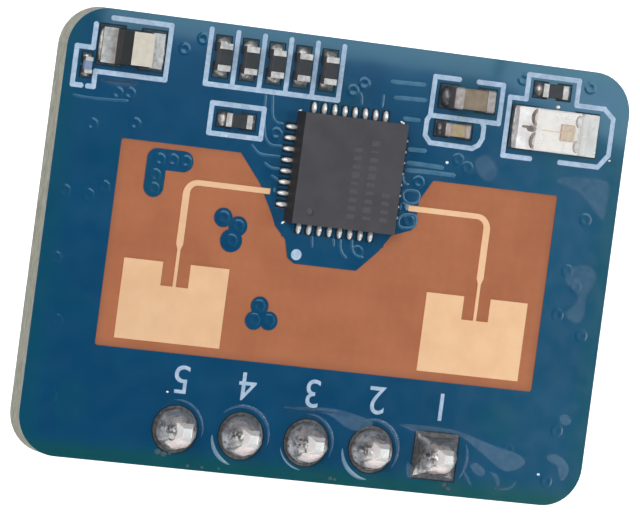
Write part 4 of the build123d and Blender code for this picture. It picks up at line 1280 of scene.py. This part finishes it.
@dataclass
class SmallParts:
    """Resistors and capacitors of the front and the flat diode, with the solder at their ends and the lamp's."""

    shop: PieceShop
    parts: Sequence[EndedPart] = (
        *(EndedPart(f"row_resistor_{n}", RESISTOR) for n in range(1, 6)),
        EndedPart("chip_side_resistor", RESISTOR),
        EndedPart("lamp_resistor", RESISTOR),
        EndedPart("supply_capacitor", TAN, toe=0.26, climb=0.34, solder=SHADED_GLOSSY_SOLDER, caps=WARM_TIN),
        EndedPart("decoupling_capacitor", AMBER, climb=0.35, solder=SHADED_GLOSSY_SOLDER, caps=PINK_TIN),
        EndedPart("edge_capacitor", BLUE_GREY, toe=0.10),
    )
    low_fillets: Sequence[tuple[str, float]] = (("input_diode_tabs", 0.10), ("status_lamp_terminals", 0.06))

    def build(self) -> None:
        """Dress each part and lay a fillet of solder at both of its ends."""
        dull, glossy = bmesh.new(), bmesh.new()
        for seed, part in enumerate(self.parts):
            self.shop.dress(part.body, f"{part.name}_body", edge=0.012)
            self.shop.dress(part.caps, f"{part.name}_ends", edge=0.015)
            self.add_fillets(glossy if part.solder is SHADED_GLOSSY_SOLDER else dull, part, seed)
        for node, climb in self.low_fillets:
            low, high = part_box(node)
            for x in (low.x, high.x):
                place = Vector((x, (low.y + high.y) / 2, self.shop.board.seat))
                made = bead(dull, place, (climb, (high.y - low.y) * 0.47 / MM, climb))
                roughen(made, 0.3, 0.02, x / MM)
        self.shop.hand_over(dull, "front_solder_fillets", DULL_SOLDER, stands_for=["front_solder"])
        self.shop.hand_over(glossy, "shaded_capacitor_solder_fillets", SHADED_GLOSSY_SOLDER)
        self.shop.dress(TINNED, "input_diode_tabs", edge=0.02)
        self.shop.dress(DIODE_BLACK, "input_diode_body", edge=0.015)
        self.shop.dress(BAND, "input_diode_band")

    def add_fillets(self, work: Work, part: EndedPart, seed: int) -> None:
        """Two fillets against the ends of one part.

        Args:
            work: Mesh to add to.
            part: The part.
            seed: Number that makes its fillets differ from the others'.
        """
        low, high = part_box(f"{part.name}_ends")
        centre, size = (low + high) / 2, high - low
        centre.z = self.shop.board.seat
        turn = 0.0 if size.x > size.y else math.pi / 2
        across, half = sorted((size.x / 2, size.y / 2))
        for side in (-1, 1):
            place = centre + Matrix.Rotation(turn, 3, "Z") @ Vector((side * half, 0.0, 0.0))
            made = bead(work, place, (part.toe, across * 1.02 / MM, size.z * part.climb / MM), turn)
            roughen(made, 0.22, 0.03, seed * 2.3 + side)


@dataclass
class StatusLamp:
    """The clear lamp: silver ends, a die on a white base and the marks under the resin."""

    shop: PieceShop
    floor_height: float = 0.014 * MM
    floor_inset: float = 0.01 * MM
    notch_radius: float = 0.302 * MM
    electrode_in: float = 0.14 * MM
    mark_bends: Line = ((0.10, 0.72), (-0.02, 0.58), (-0.06, 0.42), (0.0, 0.26), (0.12, 0.12))
    mark_out: float = 0.02 * MM
    wire_radius: float = 0.014 * MM
    wire_rise: float = 0.14 * MM
    wire_steps: int = 14

    def build(self) -> None:
        """Dress the lamp and lay the electrodes, the bond wire and the direction mark."""
        self.shop.dress(LAMP_WHITE, "status_lamp_base")
        self.shop.dress(SILVER, "status_lamp_terminals", edge=0.012)
        self.shop.dress(DIE, "status_lamp_die", edge=0.01)
        self.shop.dress(RESIN, "status_lamp_lens")
        self.add_floor()
        self.add_notch_fill()
        self.add_electrode()
        self.add_mark()
        self.add_bond_wire()
        self.add_die_edge()

    @property
    def level(self) -> float:
        """Height of the white base under the resin."""
        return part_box("status_lamp_base")[1].z

    def add_floor(self) -> None:
        """The white floor under the resin, a little above the base, so that no two faces lie in one plane."""
        low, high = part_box("status_lamp_lens")
        centre = Vector(((low.x + high.x) / 2, (low.y + high.y) / 2, self.level))
        inset = 2 * self.floor_inset
        work = bmesh.new()
        add_block(work, centre, (high.x - low.x - inset, high.y - low.y - inset, 2 * self.floor_height))
        self.shop.hand_over(work, "lamp_white_floor", LAMP_WHITE, smooth=False)

    def add_notch_fill(self) -> None:
        """Solder that fills the half-round notch at each end, flush with the plating."""
        low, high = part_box("status_lamp_terminals")
        middle, depth = (low + high) / 2, high.z - low.z
        work = bmesh.new()
        for x, outward in ((low.x, -1), (high.x, 1)):
            plug = bmesh.ops.create_cone(
                work, cap_ends=True, segments=32, radius1=self.notch_radius, radius2=self.notch_radius,
                depth=depth * 0.99, matrix=Matrix.Translation((x, middle.y, middle.z)),
            )["verts"]
            faces = dict.fromkeys(face for vert in plug for face in vert.link_faces)
            cut = bmesh.ops.bisect_plane(
                work, geom=[*plug, *edges_of(plug), *faces], plane_co=(x - outward * 0.01 * MM, 0.0, 0.0),
                plane_no=(outward, 0.0, 0.0), clear_outer=True,
            )["geom_cut"]
            bmesh.ops.holes_fill(work, edges=[item for item in cut if isinstance(item, bmesh.types.BMEdge)], sides=0)
        self.shop.hand_over(work, "lamp_notch_solder", SILVER, smooth=False)

    def add_electrode(self) -> None:
        """The right electrode under the resin: two round lobes joined by a narrow bar, and a grey sheet of painted
        shade round the lobes.
        """
        place = middle_of("status_lamp_lens")
        place.x, place.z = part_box("status_lamp_lens")[1].x - self.electrode_in, self.level
        work, shadow = bmesh.new(), bmesh.new()
        for side in (-1, 1):
            lobe = place + Vector((0.0, side * 0.46 * MM, 0.0))
            bead(work, lobe, (0.11, 0.20, 0.06))
            # Painted shade: a flat grey sheet, a little wider than each lobe, stands for the shade round it.
            lobe.x -= 0.03 * MM
            bead(shadow, lobe, (0.17, 0.26, 0.03))
        bead(work, place, (0.05, 0.42, 0.04))
        self.shop.hand_over(work, "lamp_right_electrode", SILVER)
        self.shop.hand_over(shadow, "lamp_electrode_painted_shade", MARK_AND_SHADE_GREY)

    def add_mark(self) -> None:
        """The direction mark at the left end: two curved dark edges and a blunt arrow between them."""
        place = middle_of("status_lamp_lens")
        place.x, place.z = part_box("status_lamp_lens")[0].x - self.mark_out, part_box("status_lamp_terminals")[1].z
        lines = [[place + Vector((bend, side * up, 0.0)) * MM for bend, up in self.mark_bends] for side in (-1, 1)]
        self.shop.hand_over(ridge_mesh(lines, 0.07, 0.02), "lamp_mark_edges", MARK_AND_SHADE_GREY)
        arrow = bmesh.new()
        bead(arrow, place + Vector((-0.06 * MM, 0.0, 0.0)), (0.20, 0.12, 0.02))
        bead(arrow, place + Vector((-0.30 * MM, 0.05 * MM, 0.0)), (0.16, 0.05, 0.015))
        self.shop.hand_over(arrow, "lamp_mark_arrow", MARK_AND_SHADE_GREY)

    def add_die_edge(self) -> None:
        """A darker orange-brown rim round the die's foot."""
        low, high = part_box("status_lamp_die")
        places = ((low.x, low.y), (high.x, low.y), (high.x, high.y), (low.x, high.y), (low.x, low.y))
        work = ridge_mesh([[Vector((x, y, self.level)) for x, y in places]], 0.045, 0.05, smooth=False)
        self.shop.hand_over(work, "lamp_die_edge", DIE_EDGE)

    def add_bond_wire(self) -> None:
        """A gold wire in an arch from the die to the left electrode."""
        start = middle_of("status_lamp_die")
        start.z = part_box("status_lamp_die")[1].z
        end = Vector((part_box("status_lamp_lens")[0].x + 0.28 * MM, start.y, self.level))
        work = bmesh.new()
        section = bmesh.ops.create_circle(
            work, segments=6, radius=self.wire_radius,
            matrix=Matrix.Translation(start) @ Matrix.Rotation(math.pi / 2, 4, "Y"),
        )["verts"]
        ring = edges_of(section)
        last = 0.0
        for n in range(1, self.wire_steps + 1):
            step = (end - start) / self.wire_steps
            height = self.wire_rise * math.sin(math.pi * n / self.wire_steps)
            step.z += height - last
            last = height
            made = bmesh.ops.extrude_edge_only(work, edges=ring)["geom"]
            moved = [item for item in made if isinstance(item, bmesh.types.BMVert)]
            ring = [item for item in made if isinstance(item, bmesh.types.BMEdge)]
            bmesh.ops.translate(work, vec=step, verts=moved)
        self.shop.hand_over(work, "lamp_bond_wire", GOLD)


@dataclass
class BackSide:
    """Everything on the side away from the antennas. Its places are as seen from behind, X to the right."""

    shop: PieceShop
    track_half_width: float = 0.075
    track_height: float = 0.006
    via_height: float = 0.005
    tracks: Sequence[Line] = (
        ((-1.85, 1.95), (-2.6, 1.95), (-3.05, 2.4), (-3.5, 2.4)),
        ((-1.85, 1.45), (-2.6, 1.45), (-3.05, 0.9), (-3.5, 0.9)),
        ((-1.85, 2.95), (-2.5, 2.95), (-3.2, 3.5), (-3.2, 3.95)),
        ((-1.85, 0.95), (-2.3, 0.95), (-2.9, 0.2), (-2.9, -0.9)),
        ((-6.9, 2.4), (-7.3, 2.4), (-7.6, 2.2)),
        ((-6.9, 0.8), (-7.3, 0.8), (-7.6, 1.0)),
        ((-0.65, -0.35), (-0.65, -1.5), (-2.5, -3.4), (-2.54, -5.3)),
        ((-0.15, -0.35), (-0.15, -2.2), (0.0, -2.5), (0.0, -5.3)),
        ((0.85, -0.35), (0.85, -1.7), (2.5, -3.4), (2.54, -5.3)),
        ((1.35, -0.35), (1.35, -1.1), (3.0, -1.2), (3.6, -1.7), (3.6, -2.0)),
        ((3.05, 3.45), (3.8, 3.45), (4.4, 4.0), (4.8, 4.0)),
        ((3.05, 2.45), (4.4, 2.45), (5.2, 3.2), (6.3, 3.2)),
        ((3.05, 1.45), (3.6, 1.45), (4.1, 0.9)),
        ((-0.15, 4.55), (-0.15, 5.0), (-0.7, 5.5), (-0.9, 5.6)),
        ((1.35, 4.55), (1.35, 5.2), (1.1, 5.6)),
        ((1.85, 4.55), (1.85, 5.0), (2.5, 5.5), (2.9, 5.5)),
        ((7.4, -3.0), (7.4, -2.4)),
        ((8.4, -3.6), (9.4, -3.6), (9.9, -4.1), (9.9, -5.6)),
    )
    vias: Line = (
        (9.7, 3.85), (10.4, 1.4), (9.5, 1.35), (10.4, -1.0), (10.05, -3.2), (9.9, -5.85), (6.6, 6.9),
        (5.95, 7.35), (-6.6, 7.4), (-9.3, 7.4), (-9.77, 0.1), (-9.35, 0.65), (-10.25, -1.66), (-9.8, 2.59),
        (-9.62, -7.11), (-9.78, -5.21), (-2.9, -1.1), (5.0, 4.0), (4.2, 0.8), (3.1, 5.5), (-3.2, -2.6),
        (-4.4, -1.2), (5.2, -3.4),
    )

    def build(self) -> None:
        """Dress the back parts, and add the tracks and closed vias that show through the back mask."""
        under = self.shop.board.under
        lines = [[under(*place) for place in track] for track in self.tracks]
        work = ridge_mesh(lines, self.track_half_width, self.track_height)
        self.shop.hand_over(work, "back_tracks_under_mask", TRACK)
        work = dimple_mesh((under(*via) for via in self.vias), [-self.via_height] * len(self.vias))
        self.shop.hand_over(work, "back_via_dimples", MASK)
        self.shop.dress(EPOXY, "microcontroller_body", "regulator_body", edge=0.02)
        self.shop.dress(TINNED, "microcontroller_terminals", "regulator_leads")
        self.shop.dress(CAN, "crystal_case", edge=0.03)
        self.shop.dress(TAN, "back_capacitor_bodies", edge=0.012)
        self.shop.dress(TINNED, "back_capacitor_ends", edge=0.015)
        self.shop.dress(SOLDER, "back_solder")


# ---------------------------------------------------------------- studio


@dataclass(frozen=True)
class SoftLight:
    """A square or oblong soft lamp."""

    name: str
    place: Triple
    size: Point
    watts: float
    tint: Triple = (1.0, 1.0, 1.0)
    turn: float = 0.0
    aimed: bool = True

    def hang(self) -> None:
        """Put the lamp up. An aimed lamp looks at the board, and the others look straight down."""
        data = bpy.data.lights.new(self.name, "AREA")
        data.shape = "RECTANGLE"
        data.size, data.size_y = self.size
        data.energy = self.watts
        data.color = self.tint
        lamp = put(self.name, data)
        lamp.location = self.place
        lamp.rotation_euler = (0.0, 0.0, self.turn)
        if self.aimed:
            lamp.rotation_euler = Vector(self.place).to_track_quat("Z", "Y").to_euler()
        log.info("light %s: %.2f W", self.name, self.watts)


SKY = (0.50, 0.80, 1.0)


@dataclass
class Studio:
    """Pale floor, white surroundings, soft lamps and the camera."""

    camera_place: Triple = (-78.47074, 14.76864, 195.30953)
    camera_turns: Triple = (22.15248394, 2.24257786, 7.55215055)
    focal_pixels: float = 5761.17056
    image_width: float = 640.0
    sensor: float = 36.0
    clip: Point = (0.01, 5.0)
    floor_level: float = -6.02 * MM
    floor_size: float = 1.2
    floor_glow: float = 0.7
    room_levels: Sequence[float] = (-0.6, 0.25, 0.75, 0.015)
    sheen_colour: Sequence[float] = (0.15, 0.44, 0.37, 1.0)
    sheen_edges: Sequence[tuple[int, float, float, float, float]] = (
        (0, 0.385, 0.418, 0.0, 1.0), (0, 0.47, 0.56, 1.0, 0.0), (1, -0.25, -0.12, 0.0, 1.0), (2, 0.6, 0.7, 0.0, 1.0),
    )
    lights: Sequence[SoftLight] = (
        SoftLight("key_box", (-0.26, 0.16, 0.42), (0.36, 0.36), 1.34),
        SoftLight("window_box", (0.157, 0.162, 0.4035), (0.047, 0.30), 0.128, SKY, aimed=False),
        SoftLight("corner_box", (0.211, 0.0545, 0.4035), (0.03, 0.10), 0.027, SKY, math.radians(-18.4), False),
        SoftLight("right_box", (0.415, 0.06, 0.4035), (0.40, 0.30), 1.20, (1.0, 0.985, 0.97), aimed=False),
        SoftLight("front_box", (0.12, -0.36, 0.17), (0.30, 0.20), 0.50),
    )

    def build(self) -> None:
        """Set up the floor, the surroundings, the lamps and the camera."""
        bpy.context.scene.view_settings.view_transform = "Standard"
        self.lay_floor()
        self.light_surroundings()
        for light in self.lights:
            light.hang()
        self.set_camera()

    def lay_floor(self) -> None:
        """A white sheet under the pins. It is seen from above only, so views from below stay clear."""
        sheet = bpy.data.materials.new("white_floor_sheet")
        bench = NodeBench(sheet)
        grain = bench.spread(bench.speckle(2.0, 3.0), 0.3, 0.7, 0.9, 0.93)
        bench.feed(bench.shader, {"Base Color": grain, "Roughness": 0.8, "Specular IOR Level": 0.1})
        seen = bench.figure("MULTIPLY", bench.add("LightPath").outputs["Is Camera Ray"], self.floor_glow)
        glow = bench.add("Emission", {"Strength": seen}).outputs[0]
        both = bench.add("AddShader", {0: bench.shader.outputs[0], 1: glow}).outputs[0]
        clear = bench.add("BsdfTransparent").outputs[0]
        behind = bench.add("NewGeometry").outputs["Backfacing"]
        bench.feed(bench.output, {"Surface": bench.add("MixShader", {0: behind, 1: both, 2: clear}).outputs[0]})
        work = bmesh.new()
        bmesh.ops.create_grid(work, x_segments=1, y_segments=1, size=self.floor_size / 2)
        bmesh.ops.translate(work, vec=(0.0, 0.0, self.floor_level), verts=work.verts)
        floor = put("floor", mesh_of(work, "floor", sheet))

    def light_surroundings(self) -> None:
        """White behind the object; a dim room, darker on the right, lights it and shows in its gloss."""
        world = bpy.data.worlds.new("white_room")
        bpy.context.scene.world = world
        bench = NodeBench(world, "Background", "OutputWorld")
        way = bench.coordinates["Generated"]
        room = bench.spread(bench.part(way, 0), *self.room_levels)
        share = 1.0
        for axis, *levels in self.sheen_edges:
            share = bench.figure("MULTIPLY", share, bench.spread(bench.part(way, axis), *levels, "SMOOTHSTEP"))
        room = bench.blend(share, room, self.sheen_colour)
        seen = bench.add("LightPath").outputs["Is Camera Ray"]
        bench.feed(bench.shader, {"Color": bench.blend(seen, room, (255, 255, 255))})

    def set_camera(self) -> None:
        """Place the camera as the photograph was taken."""
        data = bpy.data.cameras.new("photo_camera")
        data.sensor_width = self.sensor
        data.lens = self.focal_pixels / self.image_width * self.sensor
        data.clip_start, data.clip_end = self.clip
        camera = put("photo_camera", data)
        tilt, nod, roll = (math.radians(a) for a in self.camera_turns)
        aim = Matrix.Rotation(-tilt, 4, "Y") @ Matrix.Rotation(-nod, 4, "X") @ Matrix.Rotation(roll, 4, "Z")
        camera.matrix_world = Matrix.Translation(Vector(self.camera_place) * MM) @ aim
        bpy.context.scene.camera = camera


def main() -> None:
    """Build every sub-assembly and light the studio."""
    logging.basicConfig(level=logging.INFO, format="%(name)s: %(message)s")
    noise.seed_set(NOISE_SEED)
    shop = PieceShop(Board.from_frame())
    for assembly in (MaskField, AntennaField, HeaderJoints, FluxAndSheenFilm, RadarChip, SmallParts, StatusLamp, BackSide):
        assembly(shop).build()
    shop.dress(PRINT, "front_legend")
    Studio().build()


if __name__ == "__main__":
    main()
